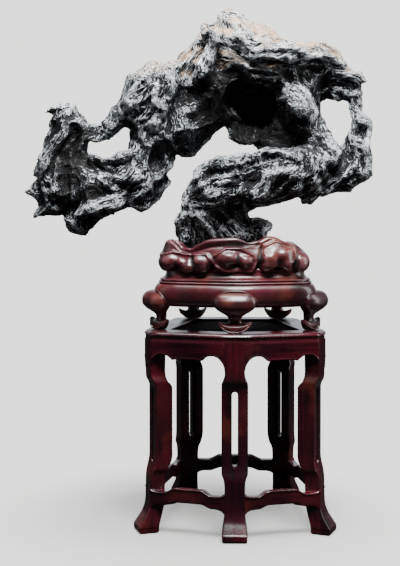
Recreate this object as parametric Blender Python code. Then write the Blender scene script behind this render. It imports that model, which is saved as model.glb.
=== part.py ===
"""Scholar's rock in a carved hardwood seat, on a tall five-legged hardwood stand.

Metres, +Z up, -Y is the front. The pieces are laid out round the stand's own axis, and an empty at the end
moves them all so that the origin lies under the middle of the whole object, on the floor.

The stand's plan is a five-sided figure whose corners are cut off by the flat outer faces of its legs. Every
ring of the stand (frame, aprons, stretchers) is that figure at some inset, and the seat's block is the same
figure with its corners rounded off.
"""
import math

import bmesh
import bpy
import numpy as np
from mathutils import Matrix, Vector

MM = 0.001
GAP = 0.3 * MM                     # clearance between pieces that touch

# --- plan of the tall stand: leg name, facing angle from the front, middle of its outer face ---------------
LEG_WIDTH = 37.0 * MM
LEG_PLAN = (
    ("front", 0.0, (0.0, -136.0)),
    ("right", 70.0, (125.0, -90.0)),
    ("back_right", 155.0, (77.6, 110.0)),
    ("back_left", 205.0, (-77.6, 110.0)),
    ("left", 290.0, (-125.0, -90.0)),
)
SIDE_NAMES = ("front_right", "right", "back", "left", "front_left")

# --- heights of the tall stand -----------------------------------------------------------------------------
FRAME_WIDTH = 38.0 * MM
PANEL_TOP = 281.5 * MM
PANEL_UNDERSIDE = 275.0 * MM
NECK_HALF_WIDTH = 14.0 * MM
ANKLE_HALF_WIDTH = 14.3 * MM
SLOT_HALF_WIDTH = 4.1 * MM
SLOT_BOTTOM, SLOT_TOP = 99.0 * MM, 204.0 * MM
SLOT_ARC_STEPS = 4
SLOT_CUT_DEPTH = (-10.0 * MM, 40.0 * MM)   # from in front of the leg's face to behind it
EDGE_CHAMFER = 2.2 * MM

# tall leg, top to bottom: height, half width, inset of the outer face, thickness (mm)
STAND_LEG_SECTIONS = (
    (273.0, 14.0, 3.0, 20.5),
    (232.0, 14.0, 3.0, 20.5),
    (224.0, 14.8, 3.2, 21.0),
    (217.0, 17.4, 4.5, 21.5),
    (210.0, 18.6, 7.0, 21.5),
    (203.0, 18.6, 9.5, 20.5),
    (104.0, 18.6, 9.5, 20.5),
    (95.0, 18.6, 6.0, 21.5),
    (88.0, 17.6, 3.0, 21.5),
    (79.0, 14.8, 1.4, 21.5),
    (40.0, 14.3, 0.6, 21.5),
    (26.0, 15.4, -4.0, 22.5),
    (12.0, 17.6, -12.6, 26.5),
    (4.5, 17.6, -15.5, 29.0),
    (0.0, 16.4, -14.0, 26.0),
)

# frame edge moulding, a closed profile of (inset from the outer line, height) in mm
FRAME_PROFILE = (
    (2.6, 285.0), (0.8, 284.4), (0.0, 283.0), (0.8, 281.6), (2.6, 281.0), (3.2, 278.6), (3.5, 273.3),
    (38.0, 273.3), (38.0, 284.4), (37.2, 285.0),
)

# aprons: faces by inset, and the lower edge by distance from the leg's flank (mm)
APRON_OUTER, APRON_INNER = 3.5 * MM, 12.5 * MM
APRON_TOP = 273.0 * MM
APRON_EDGE = ((0.0, 231.0), (2.0, 240.0), (6.0, 247.0), (12.0, 252.0), (19.5, 254.0), (27.5, 252.6),
              (32.0, 249.6), (36.0, 246.8))
APRON_MIDDLE_Z = 248.0 * MM

# humpback stretchers: faces by inset, and heights at the ends and in the middle
STRETCHER_OUTER, STRETCHER_INNER = 4.0 * MM, 15.0 * MM
STRETCHER_LOW = (41.0 * MM, 59.0 * MM)
STRETCHER_HIGH = (46.0 * MM, 66.0 * MM)
STRETCHER_RISE = (0.20, 0.34)      # where the rise starts and ends, as a share of the length

# --- the seat ----------------------------------------------------------------------------------------------
# short legs, in the order of the tall ones: facing angle, middle of the outer face (mm)
SEAT_LEG_PLAN = (
    (0.0, (0.0, -122.4)),
    (58.0, (109.0, -68.0)),
    (155.0, (69.8, 99.0)),
    (205.0, (-69.8, 99.0)),
    (302.0, (-109.0, -68.0)),
)
PLAN_ROUNDING = math.radians(15.0)
PLAN_SAMPLES = 720
# carved block, bottom to top: share of the plan, height (mm), share of the carving's lumps
SEAT_RINGS = (
    (0.750, 352.4, 0.0), (0.765, 354.4, 0.0), (0.755, 357.0, 0.0), (0.730, 359.6, 0.0),
    (0.785, 365.0, 0.6), (0.815, 372.0, 1.0), (0.815, 380.0, 1.0), (0.765, 389.0, 1.0),
    (0.705, 398.0, 0.7), (0.650, 406.0, 0.4), (0.590, 405.0, 0.2), (0.520, 398.0, 0.0),
)
SEAT_SIDES = 36
SEAT_LUMPS = 9
SEAT_LUMP_DEPTH = 0.035
SEAT_LIP_WAVE = 4.5 * MM
BED_CLEARANCE = 0.6 * MM           # room left round the stone in the bed cut for it
POCKET_CLEARANCE = 0.5 * MM        # room left round a short leg in the belly
SEAT_SHIFT = -9.0 * MM             # the lip sits to the left of the axis, under the stone's foot
# belly, bottom to top: share of the plan, height (mm)
BELLY_RINGS = ((0.790, 319.0), (0.850, 323.0), (0.890, 331.0), (0.890, 339.0), (0.860, 346.0),
               (0.800, 351.0), (0.765, 352.0))
BELLY_SIDES = 35
# short leg, top to bottom: height, half width, inset of the outer face, thickness (mm)
SEAT_LEG_SECTIONS = (
    (345.5, 13.0, 4.0, 9.0),
    (341.0, 23.0, -4.5, 19.0),
    (334.0, 28.5, -10.5, 27.0),
    (326.0, 29.5, -13.5, 30.0),
    (318.0, 25.5, -11.5, 28.0),
    (311.0, 15.5, -3.5, 19.0),
    (304.0, 9.5, 3.0, 13.5),
    (298.5, 10.0, 3.5, 13.0),
    (295.5, 20.0, 0.8, 14.5),
    (291.5, 23.5, -1.2, 15.5),
    (287.5, 18.0, 0.0, 15.0),
    (285.3, 10.5, 1.5, 13.0),
)
FOOT_ANKLE = 297.0                 # below this height the ends of a short leg's foot curl up
FOOT_CURL = 7.0                    # by this much at this half width (mm)
FOOT_CURL_HALF_WIDTH = 23.5
SEAT_LEG_SIDES = 8
SEAT_LEG_SQUARENESS = 2.6          # 2 is an ellipse, and more is nearer to a rectangle

# --- the stone: chains of balls (x, y, z, radius) in mm from the stand's axis; y < 0 is nearer --------------
DEPTH_STRETCH = 1.18               # the masses are deeper than they are thick in front view
ROCK_MASSES = {
    "heart": ((-80, 4, 586, 44), (-30, 12, 649, 63), (30, 22, 636, 70), (70, 14, 642, 63)),
    "crown": ((-30, 6, 655, 54), (-38, -6, 693, 30), (-5, -6, 718, 32), (66, 8, 645, 60)),
    "roof": ((66, 2, 650, 55), (118, -6, 672, 33), (155, -12, 663, 16)),
    "roof_under": ((100, 6, 656, 38), (146, 0, 646, 20), (176, -8, 628, 9)),
    "shoulder": ((-40, -6, 682, 32), (-80, -10, 640, 31), (-115, -16, 638, 38), (-136, -20, 621, 36),
                 (-112, -8, 588, 43)),
    "left_arm": ((-80, 0, 586, 44), (-112, -6, 588, 43), (-130, -10, 519, 31), (-140, -10, 489, 31),
                 (-175, -4, 494, 36), (-205, 0, 486, 44), (-250, 6, 500, 47), (-258, 6, 531, 36),
                 (-248, 0, 561, 31), (-248, -4, 587, 28)),
    "strut": ((-136, -18, 616, 28), (-168, -15, 597, 15), (-184, -12, 584, 12), (-197, -8, 573, 12),
              (-208, -6, 567, 12), (-230, -4, 575, 20)),
    "ring_arm": ((168, -10, 645, 14), (174, -8, 624, 9), (180, -6, 609, 9), (186, -6, 592, 13),
                 (187, -2, 570, 16), (181, 2, 546, 20), (177, 4, 520, 25), (164, 4, 508, 25),
                 (140, 2, 508, 27), (115, 2, 529, 44)),
    "right_wall": ((72, 16, 630, 52), (95, 8, 583, 36), (115, 2, 529, 45)),
    "right_knob": ((97, 2, 583, 34), (125, -8, 571, 18)),
    "cheek": ((60, 16, 590, 44), (74, -2, 534, 34)),
    "tongue": ((115, 0, 527, 45), (82, -16, 513, 40), (45, -24, 502, 39), (8, -30, 498, 37),
               (-26, -30, 492, 37), (-45, -22, 463, 34), (-54, -12, 438, 31), (-54, -4, 425, 33)),
    "neck": ((8, -4, 478, 34), (-14, 6, 456, 35), (-16, 6, 430, 37), (0, 6, 420, 30), (34, 2, 410, 18)),
}
ROCK_POINTS = {
    "spike": ((150, -12, 660, 15), (176, -18, 651, 10), (203, -24, 638, 3)),
    "brim": ((-244, -12, 604, 16), (-262, -20, 604, 10), (-279, -26, 598, 4)),
    "left_knob": ((-262, 0, 490, 34), (-298, -10, 482, 12), (-311, -14, 482, 7)),
    "left_thorn": ((-268, -6, 470, 22), (-290, -12, 453, 6), (-301, -16, 446, 3)),
    "toe": ((-218, 0, 468, 32), (-235, -8, 441, 19), (-227, -10, 425, 8)),
    "arm_barb": ((-128, -8, 500, 22), (-104, -2, 498, 8)),
    "arm_heel": ((-140, -10, 480, 24), (-140, -14, 456, 8)),
    "spur": ((20, 0, 418, 22), (42, -6, 430, 12), (50, -10, 438, 4)),
    "lobe_long": ((112, -6, 498, 22), (108, -14, 474, 11), (103, -16, 465, 5)),
    "lobe_short": ((84, -16, 494, 18), (78, -22, 474, 8)),
    "peak_tip": ((-8, -10, 730, 22), (4, -16, 745, 7)),
    "peak_left": ((-34, -12, 708, 20), (-50, -18, 724, 6)),
    "bay_teeth": ((14, -6, 586, 22), (3, -16, 564, 9), (22, -16, 564, 10)),
    "back_fin": ((-60, 40, 640, 40), (-50, 84, 655, 22), (-34, 104, 640, 10)),
    "back_spur": ((70, 60, 560, 24), (86, 82, 540, 12), (94, 96, 520, 6)),
    "back_knuckle": ((-190, 24, 500, 26), (-196, 50, 512, 12)),
}
ROCK_RIDGES = {
    "roof_ledge": ((-34, -62, 706, 12), (4, -74, 696, 15), (36, -80, 682, 15), (72, -72, 684, 15),
                   (112, -52, 686, 14), (150, -30, 676, 11)),
    "roof_lip": ((-6, -62, 668, 9), (26, -74, 657, 10), (52, -66, 648, 10)),
    "crown_rib": ((-44, -46, 715, 10), (-36, -60, 690, 12), (-52, -62, 650, 14)),
    "striped_lump": ((80, -62, 622, 17), (98, -60, 606, 17)),
    "shoulder_face": ((-132, -58, 640, 14), (-150, -54, 612, 13)),
    "shoulder_rib": ((-92, -52, 668, 12), (-100, -58, 630, 14), (-118, -56, 580, 12)),
    "tongue_ridge": ((-48, -60, 514, 9), (-20, -66, 525, 9), (20, -62, 531, 9), (58, -54, 536, 11),
                     (98, -48, 535, 12)),
    "tongue_rib": ((30, -68, 478, 8), (58, -66, 512, 10)),
    "tongue_nose": ((-52, -62, 500, 12), (-62, -44, 470, 12)),
    "lower_lump": ((142, -32, 552, 12), (146, -30, 536, 13)),
    "arm_edge": ((186, -20, 600, 6), (196, -18, 570, 8), (190, -22, 540, 9), (190, -20, 512, 10)),
    "head_sweep": ((-226, -34, 590, 8), (-247, -44, 568, 8), (-276, -40, 540, 8), (-290, -26, 512, 8)),
    "arm_nose": ((-144, -44, 508, 11), (-166, -46, 498, 10)),
    "bowl_rim": ((-160, -38, 540, 8), (-185, -36, 528, 8), (-212, -36, 534, 8)),
    "toe_ridge": ((-228, -42, 452, 9), (-196, -46, 462, 10), (-168, -40, 470, 9)),
    "neck_rib": ((-74, -36, 448, 10), (-76, -30, 412, 12)),
}
ROCK_HOLLOWS = {
    "cave_mouth": ((-4, -92, 632, 26), (34, -96, 628, 33), (62, -88, 600, 20)),
    "cave_floor": ((-2, -72, 596, 24), (28, -76, 588, 28)),
    "cave_throat": ((8, -44, 620, 28), (36, -40, 608, 31), (30, -36, 584, 24)),
    "cave_end": ((14, -16, 606, 22), (36, -12, 602, 23)),
    "spike_pit": ((138, -62, 640, 12), (142, -34, 640, 10)),
    "under_tongue": ((2, -92, 492, 15), (14, -82, 480, 13)),
    "tongue_notch": ((-20, -88, 462, 12), (-6, -70, 460, 12)),
    "head_hollow": ((-250, -66, 528, 15), (-252, -56, 496, 19), (-254, -56, 478, 14)),
    "arm_pit": ((-106, -66, 536, 14), (-112, -50, 510, 12)),
    "wall_pit": ((112, -62, 580, 13), (96, -64, 564, 12)),
    "chin_pit": ((132, -56, 516, 11), (126, -44, 498, 9)),
    "shoulder_crease": ((-118, -72, 676, 5), (-114, -66, 626, 6)),
    "back_bay": ((-8, 128, 640, 30), (20, 112, 600, 26)),
    "back_cleft": ((-104, 66, 632, 14), (-118, 62, 590, 16)),
    "back_pit": ((-222, 66, 508, 17), (-196, 58, 478, 14)),
    "back_notch": ((60, 44, 500, 15), (30, 40, 496, 14)),
    "crown_dimple": ((36, 34, 712, 16), (60, 50, 694, 16)),
}
ROCK_VOXEL = 4.0 * MM
ROCK_SMOOTHING = 2
ROCK_RELIEF = 7.0 * MM             # height of the lumps and pits all over the stone
ROCK_RELIEF_MIDDLE = 0.70
ROCK_RELIEF_SCALE = 44.0 * MM
ROCK_RELIEF_OCTAVES = 2.2
ROCK_TRIANGLES = 4400
ROCK_FOOT = 387.0 * MM             # the stone's foot is cut flat here, inside the seat

# --- colours: base colour, roughness, metallic ---------------------------------------------------------------
STONE = ("dark_limestone", (0.055, 0.062, 0.068), 0.6, 0.0)
CARVED_WOOD = ("carved_rosewood", (0.095, 0.018, 0.016), 0.3, 0.0)
FRAME_WOOD = ("polished_rosewood", (0.075, 0.014, 0.013), 0.25, 0.0)
PANEL_WOOD = ("blackened_panel", (0.010, 0.007, 0.007), 0.4, 0.0)


def clear_scene():
    """Remove every object that is in the file."""
    for item in list(bpy.data.objects):
        bpy.data.objects.remove(item, do_unlink=True)


def material(finish):
    """The Principled material of one finish, made on first use."""
    name, colour, roughness, metallic = finish
    found = bpy.data.materials.get(name)
    if found:
        return found
    made = bpy.data.materials.new(name)
    made.use_nodes = True
    shader = made.node_tree.nodes["Principled BSDF"]
    shader.inputs["Base Color"].default_value = (*colour, 1.0)
    shader.inputs["Roughness"].default_value = roughness
    shader.inputs["Metallic"].default_value = metallic
    return made


def add_object(name, vertices, faces, finish=None):
    """A mesh object from vertices and faces, with its faces turned outwards."""
    mesh = bpy.data.meshes.new(name)
    mesh.from_pydata([tuple(v) for v in vertices], [], faces)
    shell = bmesh.new()
    shell.from_mesh(mesh)
    bmesh.ops.recalc_face_normals(shell, faces=shell.faces)
    shell.to_mesh(mesh)
    shell.free()
    made = bpy.data.objects.new(name, mesh)
    bpy.context.collection.objects.link(made)
    if finish:
        mesh.materials.append(material(finish))
        mesh.shade_smooth()
        mesh.set_sharp_from_angle(angle=math.radians(38.0))
    return made


def loft(rings):
    """Vertices and faces of the closed skin over a stack of rings of equal count."""
    count = len(rings[0])
    vertices = [point for ring in rings for point in ring]
    faces = [tuple(range(count)), tuple(range(len(vertices) - count, len(vertices)))]
    for level in range(len(rings) - 1):
        for step in range(count):
            here, there = level * count, (level + 1) * count
            after = (step + 1) % count
            faces.append((here + step, here + after, there + after, there + step))
    return vertices, faces


def make_cutter(item):
    """Mark an object as a cutter, which the finished part leaves out."""
    item.hide_render = True
    item.display_type = "WIRE"
    return item


def cut(item, cutter):
    """Take the cutter away from the object."""
    step = item.modifiers.new("cut_" + cutter.name, "BOOLEAN")
    step.operation = "DIFFERENCE"
    step.solver = "EXACT"
    step.object = cutter
    step.use_self = True


# ===== the plan ==============================================================================================
def facing(angle):
    """Outward direction of a leg that faces at this angle from the front, turning towards the right."""
    turn = math.radians(angle)
    return Vector((math.sin(turn), -math.cos(turn)))


def tangent(angle):
    """Direction along a leg's face, counter-clockwise seen from above."""
    turn = math.radians(angle)
    return Vector((math.cos(turn), math.sin(turn)))


def face_centre(leg):
    """Middle of a leg's outer face in plan."""
    return Vector(LEG_PLAN[leg % 5][2]) * MM


def face_end(leg, towards):
    """End of a leg's outer face in plan; towards is +1 for the next side and -1 for the one before."""
    return face_centre(leg) + tangent(LEG_PLAN[leg % 5][1]) * (towards * LEG_WIDTH / 2)


def side_line(side):
    """Start, unit direction and outward normal of a side's outer line."""
    start, end = face_end(side, 1), face_end(side + 1, -1)
    along = (end - start).normalized()
    return start, along, Vector((along.y, -along.x))


def ring_station(leg, place, inset):
    """Point of the plan at an inset: place is 0 at a leg's centre, -1 or +1 at an end of its face."""
    outward = facing(LEG_PLAN[leg % 5][1])
    if place == 0:
        return face_centre(leg) - outward * inset
    side_normal = side_line((leg if place > 0 else leg - 1) % 5)[2]
    mitre = (outward + side_normal) / (1.0 + outward.dot(side_normal))
    return face_end(leg, place) - mitre * inset


def plan_polygon(inset=0.0):
    """The plan's corners, two to a leg, counter-clockwise from the front."""
    return [ring_station(leg, place, inset) for leg in range(5) for place in (-1, 1)]


def flank_point(side, end, inset, half_width):
    """Where a side's line at this inset meets the flank of the leg at its start (0) or end (1)."""
    start, along, normal = side_line(side)
    leg = side + end
    across = tangent(LEG_PLAN[leg % 5][1])
    reach = half_width + GAP if end == 0 else -half_width - GAP
    origin = start - normal * inset
    distance = (reach - (origin - face_centre(leg)).dot(across)) / along.dot(across)
    return origin + along * distance


def rounded_plan(count):
    """Angles round the axis and the plan's radius there, averaged so that the corners are soft."""
    fine = PLAN_SAMPLES
    corners = np.array([tuple(p) for p in plan_polygon()])
    following = np.roll(corners, -1, axis=0)
    edge = following - corners
    theta = np.arange(fine) * 2 * math.pi / fine
    ray = np.stack([np.sin(theta), -np.cos(theta)], axis=1)
    normal = np.stack([edge[:, 1], -edge[:, 0]], axis=1)
    reach = (corners * normal).sum(axis=1) / np.maximum(ray @ normal.T, 1e-9)
    radius = np.where(ray @ normal.T > 1e-9, reach, np.inf).min(axis=1)
    half = int(fine * PLAN_ROUNDING / (2 * math.pi))
    window = np.hanning(2 * half + 1)
    padded = np.concatenate([radius[-half:], radius, radius[:half]])
    radius = np.convolve(padded, window / window.sum(), mode="valid")
    picks = np.arange(count) * 2 * math.pi / count
    return picks, np.interp(picks, theta, radius, period=2 * math.pi)


# ===== the tall stand ========================================================================================
def seat_leg_rings(grow=0.0):
    """Rings of a short leg in its own frame: x across its face, -y outward, z up; grow widens all round."""
    power, sole = SEAT_LEG_SQUARENESS, SEAT_LEG_SECTIONS[-1][0]
    rings = []
    for height, half, inset, thick in SEAT_LEG_SECTIONS:
        half_x, half_y = half * MM + grow, thick * MM / 2 + grow
        middle = inset * MM + thick * MM / 2
        ring = []
        for step in range(SEAT_LEG_SIDES):
            turn = 2 * math.pi * (step + 0.5) / SEAT_LEG_SIDES
            c, s = math.cos(turn), math.sin(turn)
            squash = (abs(c) ** power + abs(s) ** power) ** (-1.0 / power)
            across = half_x * c * squash
            curl = FOOT_CURL * (abs(across) / (FOOT_CURL_HALF_WIDTH * MM)) ** 3
            top = height + curl if sole < height < FOOT_ANKLE else height
            ring.append(Vector((across, middle + half_y * s * squash, top * MM)))
        rings.append(ring)
    if grow:
        for point in rings[0]:
            point.z += grow
        for point in rings[-1]:
            point.z -= grow
    return rings


def chamfered_rings(sections):
    """Rings of a tall leg: rectangles with small chamfers."""
    rings = []
    for height, half, inset, thick in sections:
        near, far = inset * MM, (inset + thick) * MM
        x, c = half * MM, EDGE_CHAMFER
        rings.append([Vector((px, py, height * MM)) for px, py in (
            (-x + c, near), (x - c, near), (x, near + c), (x, far - c),
            (x - c, far), (-x + c, far), (-x, far - c), (-x, near + c))])
    return rings


def place_at_leg(item, angle, spot):
    """Stand an object that was made in a leg's own frame at its place in the plan (mm)."""
    item.location = (spot[0] * MM, spot[1] * MM, 0.0)
    item.rotation_euler = (0.0, 0.0, math.radians(angle))
    return item


def slot_cutter(name):
    """A long prism with round ends, which pierces a leg from front to back."""
    outline = []
    for centre, start in ((SLOT_TOP - SLOT_HALF_WIDTH, 0.0), (SLOT_BOTTOM + SLOT_HALF_WIDTH, math.pi)):
        for step in range(SLOT_ARC_STEPS + 1):
            turn = start + math.pi * step / SLOT_ARC_STEPS
            outline.append((SLOT_HALF_WIDTH * math.cos(turn), centre + SLOT_HALF_WIDTH * math.sin(turn)))
    rings = [[Vector((x, depth, z)) for x, z in outline] for depth in SLOT_CUT_DEPTH]
    return make_cutter(add_object(name, *loft(rings)))


def build_stand_legs():
    """Five tall legs, each with its slot."""
    made = []
    for name, angle, spot in LEG_PLAN:
        item = add_object("stand_leg_" + name, *loft(chamfered_rings(STAND_LEG_SECTIONS)), FRAME_WOOD)
        cutter = slot_cutter("slot_" + name)
        cut(item, cutter)
        made += [place_at_leg(item, angle, spot), place_at_leg(cutter, angle, spot)]
    return made


def build_frame():
    """Five frame members, mitred at the middle of each leg."""
    made = []
    for side, name in enumerate(SIDE_NAMES):
        rings = []
        for leg, place in ((side, 0), (side, 1), (side + 1, -1), (side + 1, 0)):
            ring = []
            for inset, height in FRAME_PROFILE:
                spot = ring_station(leg, place, inset * MM)
                if place == 0:
                    away = tangent(LEG_PLAN[leg % 5][1]) * (GAP / 2)
                    spot = spot + away if leg == side else spot - away
                ring.append(Vector((spot.x, spot.y, height * MM)))
            rings.append(ring)
        made.append(add_object("frame_" + name, *loft(rings), FRAME_WOOD))
    return made


def build_panel():
    """The sunk panel inside the frame."""
    rings = []
    for height in (PANEL_UNDERSIDE, PANEL_TOP):
        rings.append([Vector((p.x, p.y, height)) for p in plan_polygon(FRAME_WIDTH + GAP)])
    return [add_object("top_panel", *loft(rings), PANEL_WOOD)]


def side_piece(name, side, half_width, faces, stations, finish):
    """A rail between two legs.

    faces are the insets of its outer and inner face, and stations give, along its outer face, the distance
    from the start and the lower and upper height there.
    """
    outer, inner = faces
    length = stations[-1][0]
    ends = [(flank_point(side, 0, inset, half_width), flank_point(side, 1, inset, half_width))
            for inset in (outer, inner)]
    rings = []
    for distance, low, high in stations:
        ring = []
        for face, heights in ((0, (low, high)), (1, (high, low))):
            start, end = ends[face]
            spot = start.lerp(end, distance / length)
            ring += [Vector((spot.x, spot.y, height)) for height in heights]
        rings.append(ring)
    return add_object(name, *loft(rings), finish)


def side_length(side, inset, half_width):
    """Clear length between two legs along a side."""
    return (flank_point(side, 1, inset, half_width) - flank_point(side, 0, inset, half_width)).length


def build_aprons():
    """Five aprons, whose lower edge has an arch beside each leg and a low middle between two cusps."""
    made = []
    for side, name in enumerate(SIDE_NAMES):
        length = side_length(side, APRON_OUTER, NECK_HALF_WIDTH)
        half = [(distance * MM, height * MM) for distance, height in APRON_EDGE]
        edge = half + [(length / 2, APRON_MIDDLE_Z)] + [(length - d, z) for d, z in reversed(half)]
        stations = [(distance, height, APRON_TOP) for distance, height in edge]
        made.append(side_piece("apron_" + name, side, NECK_HALF_WIDTH, (APRON_OUTER, APRON_INNER),
                               stations, FRAME_WOOD))
    return made


def build_stretchers():
    """Five humpback stretchers, low at the legs and raised in the middle."""
    made = []
    rise_start, rise_end = STRETCHER_RISE
    steps = 4
    shares = [0.0] + [rise_start + (rise_end - rise_start) * k / steps for k in range(steps + 1)]
    shares += [1.0 - share for share in reversed(shares)]
    for side, name in enumerate(SIDE_NAMES):
        length = side_length(side, STRETCHER_OUTER, ANKLE_HALF_WIDTH)
        stations = []
        for share in shares:
            run = (min(share, 1.0 - share) - rise_start) / (rise_end - rise_start)
            run = max(0.0, min(1.0, run))
            lift = run * run * (3.0 - 2.0 * run)
            low, high = [a + (b - a) * lift for a, b in zip(STRETCHER_LOW, STRETCHER_HIGH)]
            stations.append((share * length, low, high))
        made.append(side_piece("stretcher_" + name, side, ANKLE_HALF_WIDTH,
                               (STRETCHER_OUTER, STRETCHER_INNER), stations, FRAME_WOOD))
    return made


# ===== the seat ==============================================================================================
def build_seat_legs():
    """Five short cabriole legs."""
    made = []
    for (name, _, _), (angle, spot) in zip(LEG_PLAN, SEAT_LEG_PLAN):
        item = add_object("seat_leg_" + name, *loft(seat_leg_rings()), CARVED_WOOD)
        made.append(place_at_leg(item, angle, spot))
    return made


def build_belly():
    """The bulging drum, with a pocket for each short leg."""
    angles, radius = rounded_plan(BELLY_SIDES)
    rings = []
    for share, height in BELLY_RINGS:
        rings.append([Vector((math.sin(a) * r * share, -math.cos(a) * r * share, height * MM))
                      for a, r in zip(angles, radius)])
    belly = add_object("seat_belly", *loft(rings), CARVED_WOOD)
    made = [belly]
    for (name, _, _), (angle, spot) in zip(LEG_PLAN, SEAT_LEG_PLAN):
        pocket = make_cutter(add_object("pocket_" + name, *loft(seat_leg_rings(POCKET_CLEARANCE))))
        cut(belly, place_at_leg(pocket, angle, spot))
        made.append(pocket)
    return made


def build_seat(rock):
    """The carved block: waist, rock-work body and wavy lip, cut to the stone's foot."""
    angles, radius = rounded_plan(SEAT_SIDES)
    rings = []
    for level, (share, height, carve) in enumerate(SEAT_RINGS):
        shift = SEAT_SHIFT * min(1.0, max(0.0, (height - 380.0) / 20.0))
        ring = []
        for a, r in zip(angles, radius):
            lump = math.sin(SEAT_LUMPS * a + 0.5 * level) + 0.6 * math.sin((2 * SEAT_LUMPS - 1) * a + level)
            wave = math.sin(5 * a + 0.6) + 0.6 * math.sin(8 * a + 2.0)
            reach = r * (share + SEAT_LUMP_DEPTH * carve * lump)
            lift = SEAT_LIP_WAVE * wave * min(1.0, max(0.0, (height - 385.0) / 15.0))
            ring.append(Vector((math.sin(a) * reach + shift, -math.cos(a) * reach, height * MM + lift)))
        rings.append(ring)
    seat = add_object("rock_seat", *loft(rings), CARVED_WOOD)
    bed = bpy.data.objects.new("stone_bed", rock.data)
    bpy.context.collection.objects.link(make_cutter(bed))
    swell = bed.modifiers.new("clearance", "DISPLACE")
    swell.strength = BED_CLEARANCE
    swell.mid_level = 0.0
    cut(seat, bed)
    return [seat, bed]


# ===== the stone =============================================================================================
def ball(shell, x, y, z, radius, stretch):
    """Add a ball, stretched front to back, and return its vertices."""
    place = Matrix.Translation((x * MM, y * MM, z * MM)) @ Matrix.Diagonal((1.0, stretch, 1.0, 1.0))
    return bmesh.ops.create_icosphere(shell, subdivisions=2, radius=radius * MM, matrix=place)["verts"]


def chain_mesh(name, chains, stretch):
    """One mesh of many closed bodies: the hull of each pair of neighbours in each chain of balls."""
    joined = bmesh.new()
    for chain in chains.values():
        for first, second in zip(chain, chain[1:]):
            pair = bmesh.new()
            ball(pair, *first, stretch)
            ball(pair, *second, stretch)
            hull = bmesh.ops.convex_hull(pair, input=pair.verts)
            inside = {v for v in hull["geom_interior"] if isinstance(v, bmesh.types.BMVert)}
            loose = [v for v in pair.verts if v in inside or not v.link_faces]
            bmesh.ops.delete(pair, geom=loose, context="VERTS")
            kept = {f for f in hull["geom"] if isinstance(f, bmesh.types.BMFace)}
            bmesh.ops.delete(pair, geom=[f for f in pair.faces if f not in kept], context="FACES_ONLY")
            bmesh.ops.recalc_face_normals(pair, faces=pair.faces)
            part = bpy.data.meshes.new("pair")
            pair.to_mesh(part)
            pair.free()
            joined.from_mesh(part)
            bpy.data.meshes.remove(part)
    mesh = bpy.data.meshes.new(name)
    joined.to_mesh(mesh)
    joined.free()
    made = bpy.data.objects.new(name, mesh)
    bpy.context.collection.objects.link(made)
    return made


def melt(item):
    """Melt overlapping bodies into one skin of even facets."""
    step = item.modifiers.new("melt", "REMESH")
    step.mode = "VOXEL"
    step.voxel_size = ROCK_VOXEL


def settle(item):
    """Replace an object's mesh by what its modifiers make of it, and drop the modifiers."""
    bpy.context.view_layer.update()
    result = item.evaluated_get(bpy.context.evaluated_depsgraph_get())
    mesh = bpy.data.meshes.new_from_object(result)
    item.modifiers.clear()
    item.data = mesh


def relief_texture():
    """Ridged lumps and pits in three dimensions."""
    texture = bpy.data.textures.new("stone_relief", "MUSGRAVE")
    texture.musgrave_type = "RIDGED_MULTIFRACTAL"
    texture.noise_scale = ROCK_RELIEF_SCALE
    texture.octaves = ROCK_RELIEF_OCTAVES
    texture.lacunarity = 2.1
    texture.dimension_max = 1.0
    return texture


def flatten_foot(item):
    """Cut the stone off level at its foot and close the cut."""
    shell = bmesh.new()
    shell.from_mesh(item.data)
    bmesh.ops.bisect_plane(shell, geom=shell.verts[:] + shell.edges[:] + shell.faces[:], dist=GAP / 10,
                           plane_co=(0.0, 0.0, ROCK_FOOT), plane_no=(0.0, 0.0, -1.0), clear_outer=True)
    rim = [edge for edge in shell.edges if edge.is_boundary]
    if rim:
        bmesh.ops.triangle_fill(shell, use_beauty=True, edges=rim, normal=(0.0, 0.0, -1.0))
    bmesh.ops.recalc_face_normals(shell, faces=shell.faces)
    shell.to_mesh(item.data)
    shell.free()


def build_rock():
    """The stone: masses, points and ridges melted together, hollows carved out, lumps and pits over all."""
    rock = chain_mesh("scholars_rock", ROCK_MASSES, DEPTH_STRETCH)
    fine = chain_mesh("rock_trim", {**ROCK_POINTS, **ROCK_RIDGES}, 1.0)
    both = bmesh.new()
    both.from_mesh(rock.data)
    both.from_mesh(fine.data)
    both.to_mesh(rock.data)
    both.free()
    bpy.data.objects.remove(fine)
    hollows = make_cutter(chain_mesh("rock_hollows", ROCK_HOLLOWS, 1.0))
    melt(hollows)
    melt(rock)
    cut(rock, hollows)
    melt(rock)
    smooth = rock.modifiers.new("weathering", "SMOOTH")
    smooth.iterations = ROCK_SMOOTHING
    smooth.factor = 0.5
    relief = rock.modifiers.new("relief", "DISPLACE")
    relief.texture = relief_texture()
    relief.texture_coords = "LOCAL"
    relief.strength = ROCK_RELIEF
    relief.mid_level = ROCK_RELIEF_MIDDLE
    settle(rock)
    bpy.data.objects.remove(hollows)
    thin = rock.modifiers.new("facets", "DECIMATE")
    thin.ratio = ROCK_TRIANGLES / sum(len(p.vertices) - 2 for p in rock.data.polygons)
    settle(rock)
    flatten_foot(rock)
    rock.data.materials.clear()
    rock.data.materials.append(material(STONE))
    rock.data.shade_smooth()
    return rock


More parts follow.
